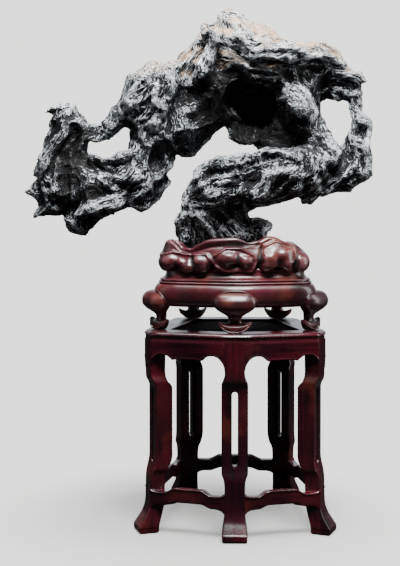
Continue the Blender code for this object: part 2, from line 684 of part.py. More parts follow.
# ===== all together ==========================================================================================
def centre_on_floor(pieces):
    """Hang every piece on an empty and move it so that the origin is under the middle of the whole."""
    bpy.context.view_layer.update()
    corners = [item.matrix_world @ Vector(corner) for item in pieces if not item.hide_render
               for corner in item.bound_box]
    low = [min(point[axis] for point in corners) for axis in range(3)]
    high = [max(point[axis] for point in corners) for axis in range(3)]
    carrier = bpy.data.objects.new("whole_object", None)
    bpy.context.collection.objects.link(carrier)
    for item in pieces:
        item.parent = carrier
    carrier.location = (-(low[0] + high[0]) / 2, -(low[1] + high[1]) / 2, -low[2])


def main():
    clear_scene()
    rock = build_rock()
    pieces = [rock]
    pieces += build_stand_legs() + build_frame() + build_panel() + build_aprons() + build_stretchers()
    pieces += build_seat_legs() + build_belly() + build_seat(rock)
    centre_on_floor(pieces)


main()
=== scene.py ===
"""Dressed model of a scholar's rock in its carved seat, on a tall five-legged stand.

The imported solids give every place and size. Each class below makes the detailed skins of one sub-assembly
and dresses them; plan positions are worked out from the stand's own axis and then moved to the frame.
"""
import logging
import math
from dataclasses import dataclass, field
from enum import Enum

import bmesh
import bpy
import numpy as np
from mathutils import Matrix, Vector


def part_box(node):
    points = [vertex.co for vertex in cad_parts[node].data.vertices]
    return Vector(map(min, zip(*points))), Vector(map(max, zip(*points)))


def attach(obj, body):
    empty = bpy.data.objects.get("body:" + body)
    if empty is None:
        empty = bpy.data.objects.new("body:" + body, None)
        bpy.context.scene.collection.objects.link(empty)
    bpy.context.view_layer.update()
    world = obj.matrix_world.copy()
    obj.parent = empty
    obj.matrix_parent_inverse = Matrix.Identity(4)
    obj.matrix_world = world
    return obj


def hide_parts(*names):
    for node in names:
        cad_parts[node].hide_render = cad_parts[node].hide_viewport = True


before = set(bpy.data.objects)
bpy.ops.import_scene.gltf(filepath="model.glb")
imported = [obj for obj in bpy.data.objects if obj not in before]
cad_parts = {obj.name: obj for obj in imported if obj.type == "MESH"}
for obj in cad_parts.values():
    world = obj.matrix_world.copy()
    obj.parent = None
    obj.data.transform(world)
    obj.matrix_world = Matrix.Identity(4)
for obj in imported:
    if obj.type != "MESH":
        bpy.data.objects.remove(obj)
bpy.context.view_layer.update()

log = logging.getLogger("scholars_rock")
MM = 0.001
BODY = "root"


# ===== numbers and surfaces =================================================================================
def smooth_curve(x: np.ndarray, xs: list[float], ys: list[float]) -> np.ndarray:
    """Monotone cubic through a table, so that a moulding has no overshoot between its points.

    On each interval y = h00 y0 + h10 h m0 + h01 y1 + h11 h m1 (Hermite), with slopes m limited to three
    times the smaller neighbouring secant, and zero where the secants change sign.

    Args:
        x: places to read the curve at.
        xs: rising places of the table.
        ys: values of the table.

    Returns:
        The curve's values, in x's shape.
    """
    px, py = np.asarray(xs, float), np.asarray(ys, float)
    step = np.diff(px)
    secant = np.diff(py) / step
    slope = np.zeros(len(px))
    slope[1:-1] = (secant[:-1] + secant[1:]) / 2
    slope[0], slope[-1] = secant[0], secant[-1]
    lower = np.minimum(np.abs(secant[:-1]), np.abs(secant[1:]))
    slope[1:-1] = np.where(secant[:-1] * secant[1:] <= 0, 0.0,
                           np.sign(slope[1:-1]) * np.minimum(np.abs(slope[1:-1]), 3 * lower))
    at = np.clip(x, px[0], px[-1])
    k = np.clip(np.searchsorted(px, at, side="right") - 1, 0, len(px) - 2)
    t = (at - px[k]) / step[k]
    h = step[k]
    return ((1 + 2 * t) * (1 - t) ** 2 * py[k] + t * (1 - t) ** 2 * h * slope[k]
            + t * t * (3 - 2 * t) * py[k + 1] + t * t * (t - 1) * h * slope[k + 1])


def bell(x: np.ndarray, width: float | np.ndarray) -> np.ndarray:
    """Gaussian bump exp(-(x / width)^2)."""
    return np.exp(-(x / width) ** 2)


def lattice_noise(points: np.ndarray, cell: float, seed: int) -> np.ndarray:
    """Smooth value noise in three dimensions, about -1 to 1.

    Each lattice corner gets a hashed value, and the value inside a cell is their blend with weights
    s = t^2 (3 - 2 t) along each axis.

    Args:
        points: (n, 3) places.
        cell: size of a cell, in the points' unit.
        seed: changes the pattern.

    Returns:
        (n,) values.
    """
    scaled = points / cell + 1000.0
    base = np.floor(scaled).astype(np.int64)
    t = scaled - base
    s = t * t * (3 - 2 * t)
    total = np.zeros(len(points))
    for corner in range(8):
        offset = np.array([corner & 1, (corner >> 1) & 1, corner >> 2])
        c = base + offset
        h = (c[:, 0] * 73856093) ^ (c[:, 1] * 19349663) ^ (c[:, 2] * 83492791) ^ (seed * 2654435761)
        h = (h ^ (h >> 13)) * 1274126177 & 0xFFFFFFFF
        value = ((h ^ (h >> 16)) & 0xFFFF) / 32767.5 - 1.0
        total += value * np.prod(np.where(offset == 1, s, 1 - s), axis=1)
    return total


def neighbour_mean(values: np.ndarray, edges: np.ndarray) -> np.ndarray:
    """Mean of each vertex's neighbours: v'_i = sum of v_j over edges ij, divided by how many there are.

    Args:
        values: (n,) or (n, k) values, one row for each vertex.
        edges: (e, 2) vertex numbers.

    Returns:
        The means, in values' shape.
    """
    count = len(values)
    degree = np.bincount(edges.ravel(), minlength=count)
    columns = values.reshape(count, -1)
    total = np.stack([np.bincount(edges[:, 0], columns[edges[:, 1], k], count)
                      + np.bincount(edges[:, 1], columns[edges[:, 0], k], count)
                      for k in range(columns.shape[1])], axis=1)
    return (total / np.maximum(degree, 1)[:, None]).reshape(values.shape)


@dataclass
class Skin:
    """Vertices with quads and triangles of one or more closed surfaces."""

    vertices: np.ndarray = field(default_factory=lambda: np.zeros((0, 3)))
    quads: np.ndarray = field(default_factory=lambda: np.zeros((0, 4), int))
    triangles: np.ndarray = field(default_factory=lambda: np.zeros((0, 3), int))

    def volume(self) -> float:
        """Signed volume: one sixth of the sum of a . (b x c) over the triangles.

        Returns:
            The volume, below zero where the faces point inwards.
        """
        tris = np.concatenate([self.quads[:, [0, 1, 2]], self.quads[:, [0, 2, 3]], self.triangles])
        a, b, c = (self.vertices[tris[:, k]] for k in range(3))
        return float(np.einsum("ij,ij->i", a, np.cross(b, c)).sum() / 6)

    def outward(self) -> "Skin":
        """Turn the faces outwards where they point inwards.

        Returns:
            The skin, or a copy of it turned inside out.
        """
        if self.volume() < 0:
            return Skin(self.vertices, self.quads[:, ::-1], self.triangles[:, ::-1])
        return self

    def joined(self, other: "Skin") -> "Skin":
        """Put two skins together.

        Args:
            other: the skin to add.

        Returns:
            Both as one, neither changed.
        """
        shift = len(self.vertices)
        return Skin(np.concatenate([self.vertices, other.vertices]),
                    np.concatenate([self.quads, other.quads + shift]),
                    np.concatenate([self.triangles, other.triangles + shift]))

    def piece(self, name: str, sharp: float = 40.0) -> bpy.types.Object:
        """Make the mesh object.

        Args:
            name: the piece's name.
            sharp: edges sharper than this angle, in degrees, stay crisp.

        Returns:
            The new object, linked to the scene.
        """
        mesh = bpy.data.meshes.new(name)
        mesh.vertices.add(len(self.vertices))
        mesh.vertices.foreach_set("co", self.vertices.astype(np.float32).ravel())
        corners = np.concatenate([self.quads.ravel(), self.triangles.ravel()])
        mesh.loops.add(len(corners))
        mesh.loops.foreach_set("vertex_index", corners.astype(np.int32))
        starts = np.concatenate([np.arange(len(self.quads)) * 4,
                                 len(self.quads) * 4 + np.arange(len(self.triangles)) * 3])
        mesh.polygons.add(len(starts))
        mesh.polygons.foreach_set("loop_start", starts.astype(np.int32))
        mesh.update(calc_edges=True)
        mesh.validate()
        made = bpy.data.objects.new(name, mesh)
        bpy.context.scene.collection.objects.link(made)
        mesh.shade_smooth()
        mesh.set_sharp_from_angle(angle=math.radians(sharp))
        return made


def tube(rings: np.ndarray) -> Skin:
    """Closed skin over a stack of rings, with a fan over each end.

    Args:
        rings: (n, m, 3) points, m round a ring and n rings.

    Returns:
        The skin, facing outwards.
    """
    n, m = rings.shape[:2]
    index = np.arange(n * m).reshape(n, m)
    lower, upper = index[:-1], index[1:]
    quads = np.stack([lower, np.roll(lower, -1, axis=1), np.roll(upper, -1, axis=1), upper], axis=-1)
    vertices = np.concatenate([rings.reshape(-1, 3), rings[:1].mean(axis=1), rings[-1:].mean(axis=1)])
    first, last = index[0], index[-1]
    low = np.stack([np.roll(first, -1), first, np.full(m, n * m)], axis=1)
    high = np.stack([last, np.roll(last, -1), np.full(m, n * m + 1)], axis=1)
    return Skin(vertices, quads.reshape(-1, 4), np.concatenate([low, high])).outward()


def swept(base: np.ndarray, slope: np.ndarray, inset: np.ndarray, height: np.ndarray) -> Skin:
    """A profile carried along a path in plan: base(s) + inset(s, u) slope(s), at height(s, u).

    Args:
        base: (n, 2) points of the path, from the stand's axis, in metres.
        slope: (n, 2) steps in plan for each metre of inset.
        inset: (n, m) or (1, m) insets, in mm.
        height: (n, m) or (1, m) heights, in mm.

    Returns:
        The skin, in the frame.
    """
    spots = base[:, None, :] + inset[..., None] * MM * slope[:, None, :]
    level = np.broadcast_to(height[..., None] * MM, spots.shape[:2] + (1,))
    return tube(to_frame(np.concatenate([spots, level], axis=-1)))


def cord_of(path: np.ndarray, radius: float, sides: int = 8) -> Skin:
    """Round bead along a path: p + r (cos u a + sin u b), with a and b square to the path.

    r is the radius times min(1, 0.3 + k / 4), with k the steps from the nearer end.

    Args:
        path: (n, 3) points.
        radius: the bead's radius away from its ends.
        sides: points round the bead.

    Returns:
        The bead's skin.
    """
    along = np.gradient(path, axis=0)
    along /= np.linalg.norm(along, axis=1, keepdims=True)
    a = np.cross(along, np.array([0.0, 0.0, 1.0]) + along[:, [1, 2, 0]] * 0.1)
    a /= np.linalg.norm(a, axis=1, keepdims=True)
    b = np.cross(along, a)
    u = np.arange(sides) * 2 * math.pi / sides
    taper = np.clip(np.minimum(np.arange(len(path)), np.arange(len(path))[::-1]) / 4 + 0.3, 0, 1) * radius
    ring = np.cos(u)[None, :, None] * a[:, None, :] + np.sin(u)[None, :, None] * b[:, None, :]
    return tube(path[:, None, :] + taper[:, None, None] * ring)


def rounded_box(half_x: np.ndarray, half_y: np.ndarray, radius: np.ndarray, per_corner: int = 5,
                per_side: int = 3) -> tuple[np.ndarray, np.ndarray]:
    """Rings of a rectangle with round corners: corner centre + r (cos u, sin u), and points between them.

    Args:
        half_x: (n,) half widths.
        half_y: (n,) half depths.
        radius: (n,) corner radii.
        per_corner: points on each corner.
        per_side: points added along each side.

    Returns:
        x and y, each (n, m).
    """
    xs, ys = [], []
    for quarter in range(4):
        turn = math.pi / 2 * quarter + np.linspace(0, math.pi / 2, per_corner)
        sx, sy = (1, -1, -1, 1)[quarter], (1, 1, -1, -1)[quarter]
        xs.append((sx * (half_x - radius))[:, None] + radius[:, None] * np.cos(turn))
        ys.append((sy * (half_y - radius))[:, None] + radius[:, None] * np.sin(turn))
    full_x, full_y = [], []
    for quarter in range(4):
        full_x.append(xs[quarter])
        full_y.append(ys[quarter])
        t = (np.arange(per_side) + 1) / (per_side + 1)
        nx, ny = xs[(quarter + 1) % 4][:, :1], ys[(quarter + 1) % 4][:, :1]
        full_x.append(xs[quarter][:, -1:] * (1 - t) + nx * t)
        full_y.append(ys[quarter][:, -1:] * (1 - t) + ny * t)
    return np.concatenate(full_x, axis=1), np.concatenate(full_y, axis=1)


def patches(x: np.ndarray, z: np.ndarray, table: tuple[tuple[float, ...], ...]) -> np.ndarray:
    """Sum of A exp(-((x - cx) / rx)^2 - ((z - cz) / rz)^2) over a table of (cx, cz, rx, rz, A).

    Args:
        x: places from the left, in front view.
        z: heights, in front view.
        table: the patches.

    Returns:
        The sum, in x's shape.
    """
    total = np.zeros_like(x)
    for cx, cz, rx, rz, height in table:
        total += height * np.exp(-((x - cx) / rx) ** 2 - ((z - cz) / rz) ** 2)
    return total


def distance_to(path: np.ndarray, x: np.ndarray, z: np.ndarray) -> np.ndarray:
    """Distance from each (x, z) to a polyline: the least over its stretches.

    Args:
        path: (n, 2) corners of the polyline.
        x: first coordinates.
        z: second coordinates.

    Returns:
        The distances, in x's shape.
    """
    best = np.full(x.shape, np.inf)
    for a, b in zip(path, path[1:]):
        d = b - a
        t = np.clip(((x - a[0]) * d[0] + (z - a[1]) * d[1]) / (d @ d), 0, 1)
        best = np.minimum(best, np.hypot(x - a[0] - t * d[0], z - a[1] - t * d[1]))
    return best


def mark_relief(item: bpy.types.Object, gain: float, passes: int = 1) -> None:
    """Store how proud each point stands of its surroundings, as the point attribute "proud".

    proud = 0.5 + gain (p - q) . n / e, where q is the neighbours' mean (taken passes times), n the normal and
    e the mean edge length; it is clipped to 0..1.

    Args:
        item: the mesh piece.
        gain: contrast.
        passes: how many times the mean is taken.
    """
    mesh = item.data
    count = len(mesh.vertices)
    points, normals = np.zeros(count * 3, np.float32), np.zeros(count * 3, np.float32)
    mesh.vertices.foreach_get("co", points)
    mesh.vertices.foreach_get("normal", normals)
    edges = np.zeros(len(mesh.edges) * 2, np.int32)
    mesh.edges.foreach_get("vertices", edges)
    points, normals, edges = points.reshape(-1, 3), normals.reshape(-1, 3), edges.reshape(-1, 2)
    blurred = points
    for _ in range(passes):
        blurred = neighbour_mean(blurred, edges)
    size = np.linalg.norm(points[edges[:, 0]] - points[edges[:, 1]], axis=1).mean()
    proud = 0.5 + gain * np.einsum("ij,ij->i", points - blurred, normals) / size
    store(item, "proud", np.clip(proud, 0, 1))


def store(item: bpy.types.Object, name: str, values: np.ndarray) -> None:
    """Keep one number per point in a named attribute."""
    layer = item.data.attributes.get(name) or item.data.attributes.new(name, "FLOAT", "POINT")
    layer.data.foreach_set("value", values.astype(np.float32))


def settle(item: bpy.types.Object) -> None:
    """Apply an object's modifiers to its mesh.

    Args:
        item: the object.
    """
    bpy.context.view_layer.update()
    done = item.evaluated_get(bpy.context.evaluated_depsgraph_get())
    mesh = bpy.data.meshes.new_from_object(done)
    item.modifiers.clear()
    item.data = mesh


# ===== the plan =============================================================================================
@dataclass(frozen=True)
class Plan:
    """Five-sided plan of the stand, whose corners are cut off by the legs' flat faces (metres)."""

    angles: tuple[float, ...] = (0.0, 70.0, 155.0, 205.0, 290.0)
    spots: tuple[tuple[float, float], ...] = ((0.0, -0.136), (0.125, -0.090), (0.0806, 0.110),
                                              (-0.0806, 0.110), (-0.125, -0.090))
    leg_width: float = 0.037
    clearance: float = 0.0003
    toe_reach: float = 0.1515

    def centre(self) -> np.ndarray:
        """The stand's axis in the frame, from the top panel's width and the front leg's toe.

        Returns:
            Its x and y.
        """
        low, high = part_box("top_panel")
        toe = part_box("stand_leg_front")[0]
        return np.array([(low.x + high.x) / 2, toe.y + self.toe_reach])

    def outward(self, leg: int) -> np.ndarray:
        """Unit direction a leg faces: (sin a, -cos a)."""
        turn = math.radians(self.angles[leg % 5])
        return np.array([math.sin(turn), -math.cos(turn)])

    def along(self, leg: int) -> np.ndarray:
        """Unit direction across a leg's face, counter-clockwise: (cos a, sin a)."""
        turn = math.radians(self.angles[leg % 5])
        return np.array([math.cos(turn), math.sin(turn)])

    def side(self, side: int) -> tuple[np.ndarray, np.ndarray, np.ndarray]:
        """The outer line of a side, from the end of one leg's face to the start of the next leg's.

        Args:
            side: its place in the plan, that of the leg it starts from.

        Returns:
            Its start, unit direction and outward normal.
        """
        start = np.array(self.spots[side % 5]) + self.along(side) * self.leg_width / 2
        end = np.array(self.spots[(side + 1) % 5]) - self.along(side + 1) * self.leg_width / 2
        direction = (end - start) / np.linalg.norm(end - start)
        return start, direction, np.array([direction[1], -direction[0]])

    def station(self, leg: int, place: int) -> tuple[np.ndarray, np.ndarray]:
        """A corner of the plan, or the middle of a leg's face, as base + inset x slope.

        At a corner the slope is -(n1 + n2) / (1 + n1 . n2), with n1 and n2 the normals of its two lines.

        Args:
            leg: the leg's place in the plan.
            place: 0 for the middle of its face, -1 or +1 for the face's ends.

        Returns:
            Base and slope.
        """
        out = self.outward(leg)
        spot = np.array(self.spots[leg % 5])
        if place == 0:
            return spot, -out
        normal = self.side(leg if place > 0 else leg - 1)[2]
        return spot + self.along(leg) * place * self.leg_width / 2, -(out + normal) / (1 + out @ normal)

    def flank(self, side: int, end: int, half_width: float) -> tuple[np.ndarray, np.ndarray]:
        """Where a side's line meets a leg's flank, as base + inset x slope.

        Args:
            side: the side's place in the plan.
            end: 0 for the leg it starts from, 1 for the leg it runs to.
            half_width: half the leg's width there.

        Returns:
            Base and slope.
        """
        start, direction, normal = self.side(side)
        leg = side + end
        across = self.along(leg)
        reach = (half_width + self.clearance) * (1 if end == 0 else -1)
        spots = []
        for inset in (0.0, 1.0):
            origin = start - normal * inset
            distance = (reach - (origin - np.array(self.spots[leg % 5])) @ across) / (direction @ across)
            spots.append(origin + direction * distance)
        return spots[0], spots[1] - spots[0]

    def soft_radius(self, turns: np.ndarray, rounding: float = 15.0, samples: int = 1440) -> np.ndarray:
        """Distance from the axis to the plan's outline at each turn from the front, with softened corners.

        r(a) = min over edges of (c . n) / (d . n), with c a corner, n the edge's normal and
        d = (sin a, -cos a), averaged with a raised-cosine window of +-rounding degrees.

        Args:
            turns: angles from the front, in radians.
            rounding: half width of the window, in degrees.
            samples: steps round the outline.

        Returns:
            Radii in turns' shape, in metres.
        """
        corners = np.array([self.station(leg, place)[0] for leg in range(5) for place in (-1, 1)])
        edge = np.roll(corners, -1, axis=0) - corners
        normal = np.stack([edge[:, 1], -edge[:, 0]], axis=1)
        theta = np.arange(samples) * 2 * math.pi / samples
        facing = np.stack([np.sin(theta), -np.cos(theta)], axis=1) @ normal.T
        reach = (corners * normal).sum(axis=1) / np.maximum(facing, 1e-9)
        radius = np.where(facing > 1e-9, reach, np.inf).min(axis=1)
        half = int(samples * rounding / 360)
        window = np.hanning(2 * half + 1)
        padded = np.concatenate([radius[-half:], radius, radius[:half]])
        radius = np.convolve(padded, window / window.sum(), mode="valid")
        return np.interp(turns, theta, radius, period=2 * math.pi)


PLAN = Plan()
CENTRE = PLAN.centre()
LEG_NAMES = ("front", "right", "back_right", "back_left", "left")
SIDE_NAMES = ("front_right", "right", "back", "left", "front_left")


def to_frame(points: np.ndarray) -> np.ndarray:
    """Move points from the stand's axis to the frame: add the axis's x and y."""
    return points + np.array([CENTRE[0], CENTRE[1], 0.0])


def turned(points: np.ndarray, angle: float, spot: tuple[float, float]) -> np.ndarray:
    """Points of a leg's own frame at its place: x' = x cos a - y sin a + sx, y' = x sin a + y cos a + sy.

    Args:
        points: (..., 3) points, with x across the leg's face and y from it towards the axis.
        angle: the way the leg faces, in degrees.
        spot: sx and sy, from the stand's axis.

    Returns:
        The points in the frame.
    """
    a = math.radians(angle)
    x, y, z = points[..., 0], points[..., 1], points[..., 2]
    placed = np.stack([x * math.cos(a) - y * math.sin(a) + spot[0],
                       x * math.sin(a) + y * math.cos(a) + spot[1], z], axis=-1)
    return to_frame(placed)


# ===== finishes =============================================================================================
FIGURE = "rosewood_figure"
WEAR_AND_LIGHT = "rub_sheen_and_grime_shade"
STRATA = "strata_lines"


class Grain(Enum):
    """Which way the wood's grain runs in a piece."""

    UPRIGHT = "upright"
    LEVEL = "level"


def linear(hexcode: str) -> tuple[float, float, float, float]:
    """Linear colour of an sRGB code: c / 12.92 below 0.04045, else ((c + 0.055) / 1.055)^2.4."""
    parts = [int(hexcode[k:k + 2], 16) / 255 for k in (0, 2, 4)]
    return tuple(c / 12.92 if c <= 0.04045 else ((c + 0.055) / 1.055) ** 2.4 for c in parts) + (1.0,)


class Weaver:
    """Adds and links the nodes of one tree in a few words."""

    def __init__(self, tree: bpy.types.NodeTree) -> None:
        """Work on a tree."""
        self.tree = tree

    def node(self, kind: str, settings: dict | None = None, **inputs: object) -> bpy.types.Node:
        """Add a node.

        Args:
            kind: the node's type name.
            settings: its properties.
            inputs: values or output sockets by input name, spaces written as underscores; in_N is by number.

        Returns:
            The node.
        """
        made = self.tree.nodes.new(kind)
        for key, value in (settings or {}).items():
            setattr(made, key, value)
        for key, value in inputs.items():
            name = key.replace("_", " ")
            socket = made.inputs[int(key[3:])] if key.startswith("in_") else made.inputs[name]
            if isinstance(value, bpy.types.NodeSocket):
                self.tree.links.new(value, socket)
            else:
                socket.default_value = value
        return made

    def math(self, operation: str, a: object, b: object = 0.0, clamp: bool = False) -> bpy.types.NodeSocket:
        """Output of a Math node on one or two values."""
        settings = {"operation": operation, "use_clamp": clamp}
        return self.node("ShaderNodeMath", settings, in_0=a, in_1=b).outputs[0]

    def total(self, *terms: object) -> bpy.types.NodeSocket:
        """Sum of several terms, added in order.

        Args:
            terms: values or output sockets, or pairs of which the product is meant.

        Returns:
            The sum's output.
        """
        parts = [self.math("MULTIPLY", *term) if isinstance(term, tuple) else term for term in terms]
        result = parts[0]
        for part in parts[1:]:
            result = self.math("ADD", result, part)
        return result

    def ramp(self, value: object, low: float, high: float, to_low: float = 0.0,
             to_high: float = 1.0) -> bpy.types.NodeSocket:
        """Output of a clamped, smooth Map Range.

        Args:
            value: what is read.
            low: where the ramp starts.
            high: where it ends.
            to_low: output at its start.
            to_high: output at its end.

        Returns:
            The ramp's output.
        """
        settings = {"interpolation_type": "SMOOTHSTEP", "clamp": True}
        made = self.node("ShaderNodeMapRange", settings, Value=value, From_Min=low, From_Max=high,
                         To_Min=to_low, To_Max=to_high)
        return made.outputs[0]

    def mix(self, factor: object, a: object, b: object, blend: str = "MIX") -> bpy.types.NodeSocket:
        """Output of a colour Mix node.

        Args:
            factor: how much of b.
            a: first colour.
            b: second colour.
            blend: the node's blend type.

        Returns:
            The mixed colour's output.
        """
        made = self.node("ShaderNodeMix", {"data_type": "RGBA", "blend_type": blend})
        for socket, value in ((made.inputs[0], factor), (made.inputs[6], a), (made.inputs[7], b)):
            if isinstance(value, bpy.types.NodeSocket):
                self.tree.links.new(value, socket)
            else:
                socket.default_value = value
        return made.outputs[2]

    def noise(self, vector: object, scale: float, detail: float = 3.0, rough: float = 0.55,
              warp: float = 0.0) -> bpy.types.NodeSocket:
        """Factor of a Noise Texture."""
        return self.node("ShaderNodeTexNoise", Vector=vector, Scale=scale, Detail=detail, Roughness=rough,
                         Distortion=warp).outputs[0]

    def attribute(self, name: str) -> bpy.types.NodeSocket:
        """Factor of a point attribute."""
        return self.node("ShaderNodeAttribute", {"attribute_name": name}).outputs["Fac"]

    def group(self, name: str, **inputs: object) -> bpy.types.NodeOutputs:
        """Outputs of a shader node group, placed with its own values."""
        return self.node("ShaderNodeGroup", {"node_tree": bpy.data.node_groups[name]}, **inputs).outputs

    def link(self, value: bpy.types.NodeSocket, node: bpy.types.Node, socket: str) -> None:
        """Link an output to a node's input by name."""
        self.tree.links.new(value, node.inputs[socket])


def new_group(name: str, inputs: list[tuple[str, str, object]],
              outputs: list[tuple[str, str]]) -> tuple[bpy.types.NodeTree, Weaver, dict, bpy.types.Node]:
    """Start a shader node group.

    Args:
        name: the group's name.
        inputs: name, socket type and default of each input.
        outputs: name and socket type of each output.

    Returns:
        The tree, its weaver, its inputs' sockets by name and its output node.
    """
    tree = bpy.data.node_groups.new(name, "ShaderNodeTree")
    for label, kind, default in inputs:
        socket = tree.interface.new_socket(label, in_out="INPUT", socket_type=kind)
        if default is not None:
            socket.default_value = default
    for label, kind in outputs:
        tree.interface.new_socket(label, in_out="OUTPUT", socket_type=kind)
    start, end = tree.nodes.new("NodeGroupInput"), tree.nodes.new("NodeGroupOutput")
    return tree, Weaver(tree), {s.name: s for s in start.outputs}, end


def rosewood_group() -> bpy.types.NodeTree:
    """Rosewood figure: dark streaks and fine pores drawn out along the vector's x, over a slow red glow.

    Returns:
        The node group.
    """
    colour, number = "NodeSocketColor", "NodeSocketFloat"
    tree, w, given, end = new_group(
        FIGURE,
        [("Vector", "NodeSocketVector", None), ("Dark", colour, (0, 0, 0, 1)), ("Red", colour, (0, 0, 0, 1)),
         ("Glow", colour, (0, 0, 0, 1)), ("Streaks", number, 1.0)],
        [("Color", colour), ("Roughness", number), ("Height", number)])
    slow = w.noise(given["Vector"], 9.0, 2.0, 0.5, 0.4)
    long = w.node("ShaderNodeMapping", Vector=given["Vector"], Scale=(7.0, 90.0, 90.0)).outputs[0]
    streak = w.noise(long, 1.0, 4.0, 0.62, 0.6)
    fine = w.node("ShaderNodeMapping", Vector=given["Vector"], Scale=(30.0, 900.0, 900.0)).outputs[0]
    pore = w.noise(fine, 1.0, 2.0, 0.6)
    body = w.mix(w.ramp(slow, 0.32, 0.70), given["Red"], given["Glow"])
    dark = w.math("MULTIPLY", w.ramp(streak, 0.44, 0.68), given["Streaks"], True)
    body = w.mix(dark, body, given["Dark"])
    pores = w.ramp(pore, 0.60, 0.76)
    w.link(w.mix(w.math("MULTIPLY", pores, 0.55), body, given["Dark"]), end, "Color")
    w.link(w.total(w.ramp(streak, 0.3, 0.8, 0.0, 0.10), (pores, 0.12)), end, "Roughness")
    w.link(w.math("SUBTRACT", w.math("MULTIPLY", streak, 0.4), pores), end, "Height")
    return tree


def wear_and_light_group() -> bpy.types.NodeTree:
    """Painted highlight and worn edges where a point stands proud, painted shade and dirt in hollows, broken
    up by noise.

    Returns:
        The node group.
    """
    number = "NodeSocketFloat"
    tree, w, given, end = new_group(
        WEAR_AND_LIGHT,
        [("Vector", "NodeSocketVector", None), ("Proud", number, 0.5), ("Edge", number, 0.62),
         ("Scale", number, 60.0)],
        [("Rubbed Highlight", number), ("Grime Shade", number)])
    patch = w.node("ShaderNodeTexNoise", Vector=given["Vector"], Scale=given["Scale"], Detail=3.0).outputs[0]
    proud = w.math("ADD", given["Proud"], w.ramp(patch, 0.2, 0.8, -0.06, 0.06))
    above = w.math("SUBTRACT", proud, given["Edge"])
    # Lighter where a point stands proud: painted highlight and worn edges; darker in hollows: painted shade
    # and dirt.
    w.link(w.ramp(above, 0.0, 0.18), end, "Rubbed Highlight")
    w.link(w.ramp(proud, 0.46, 0.25), end, "Grime Shade")
    return tree


@dataclass(frozen=True)
class WoodFinish:
    """A polished hardwood: dark streaks over two reds, mottled; painted highlight on worn edges, painted
    shade and dirt in hollows.
    """

    name: str
    slot: str
    dark: str
    red: str
    glow: str
    # Colour of the painted highlight and worn edges where a point stands proud.
    rubbed_highlight: str
    roughness: float
    coat: float
    streaks: float = 0.85
    shine: float = 0.5
    mottle: float = 0.6
    warmth: str = "5a241c"
    # Colour of the painted shade and dirt in hollows.
    grime_shade: str = "050203"
    coat_roughness: float = 0.14

    def material(self, grain: Grain, heading: float) -> bpy.types.Material:
        """Material with its grain along a piece.

        Args:
            grain: upright or level.
            heading: for level grain, the piece's direction in plan, in degrees from +X.

        Returns:
            The material, made on first use.
        """
        turn = 0 if grain is Grain.UPRIGHT else round(heading)
        name = f"{self.name}_{grain.value}_{turn % 360}"
        found = bpy.data.materials.get(name)
        if found:
            return found
        made = bpy.data.materials.new(name)
        made.use_nodes = True
        w = Weaver(made.node_tree)
        shader = made.node_tree.nodes["Principled BSDF"]
        place = w.node("ShaderNodeTexCoord").outputs["Object"]
        spin = (0.0, math.radians(90), 0.0) if grain is Grain.UPRIGHT else (0.0, 0.0, -math.radians(turn))
        vector = w.node("ShaderNodeMapping", Vector=place, Rotation=spin).outputs[0]
        figure = w.group(FIGURE, Vector=vector, Dark=linear(self.dark), Red=linear(self.red),
                         Glow=linear(self.glow), Streaks=self.streaks)
        wear_and_light = w.group(WEAR_AND_LIGHT, Vector=place, Proud=w.attribute("proud"), Edge=0.60, Scale=70.0)
        shadow = w.ramp(w.noise(place, 13.0, 3.0, 0.55), 0.44, 0.64, 0.0, self.mottle)
        colour = w.mix(shadow, figure["Color"], linear(self.dark))
        warm = w.ramp(w.noise(vector, 21.0, 2.0, 0.5), 0.52, 0.70, 0.0, self.mottle * 0.8)
        colour = w.mix(warm, colour, linear(self.warmth))
        # Painted highlight and worn edges on proud places, then painted shade and dirt in the hollows.
        colour = w.mix(w.math("MULTIPLY", wear_and_light["Rubbed Highlight"], 0.4), colour, linear(self.rubbed_highlight))
        colour = w.mix(w.math("MULTIPLY", wear_and_light["Grime Shade"], 0.9), colour, linear(self.grime_shade))
        w.link(colour, shader, "Base Color")
        smear = w.ramp(w.noise(place, 26.0, 4.0, 0.6), 0.35, 0.75, -0.04, 0.10)
        rough = w.total(figure["Roughness"], self.roughness, smear, (wear_and_light["Grime Shade"], 0.25))
        w.link(rough, shader, "Roughness")
        w.link(w.ramp(wear_and_light["Grime Shade"], 0.0, 1.0, self.coat, 0.0), shader, "Coat Weight")
        shader.inputs["Coat Roughness"].default_value = self.coat_roughness
        shader.inputs["Specular IOR Level"].default_value = self.shine
        bump = w.node("ShaderNodeBump", Height=figure["Height"], Strength=0.22, Distance=0.0004)
        uneven = w.noise(place, 55.0, 3.0, 0.6)
        swell = w.node("ShaderNodeBump", Height=uneven, Strength=0.07, Distance=0.0018,
                       Normal=bump.outputs[0])
        w.link(swell.outputs[0], shader, "Normal")
        return made


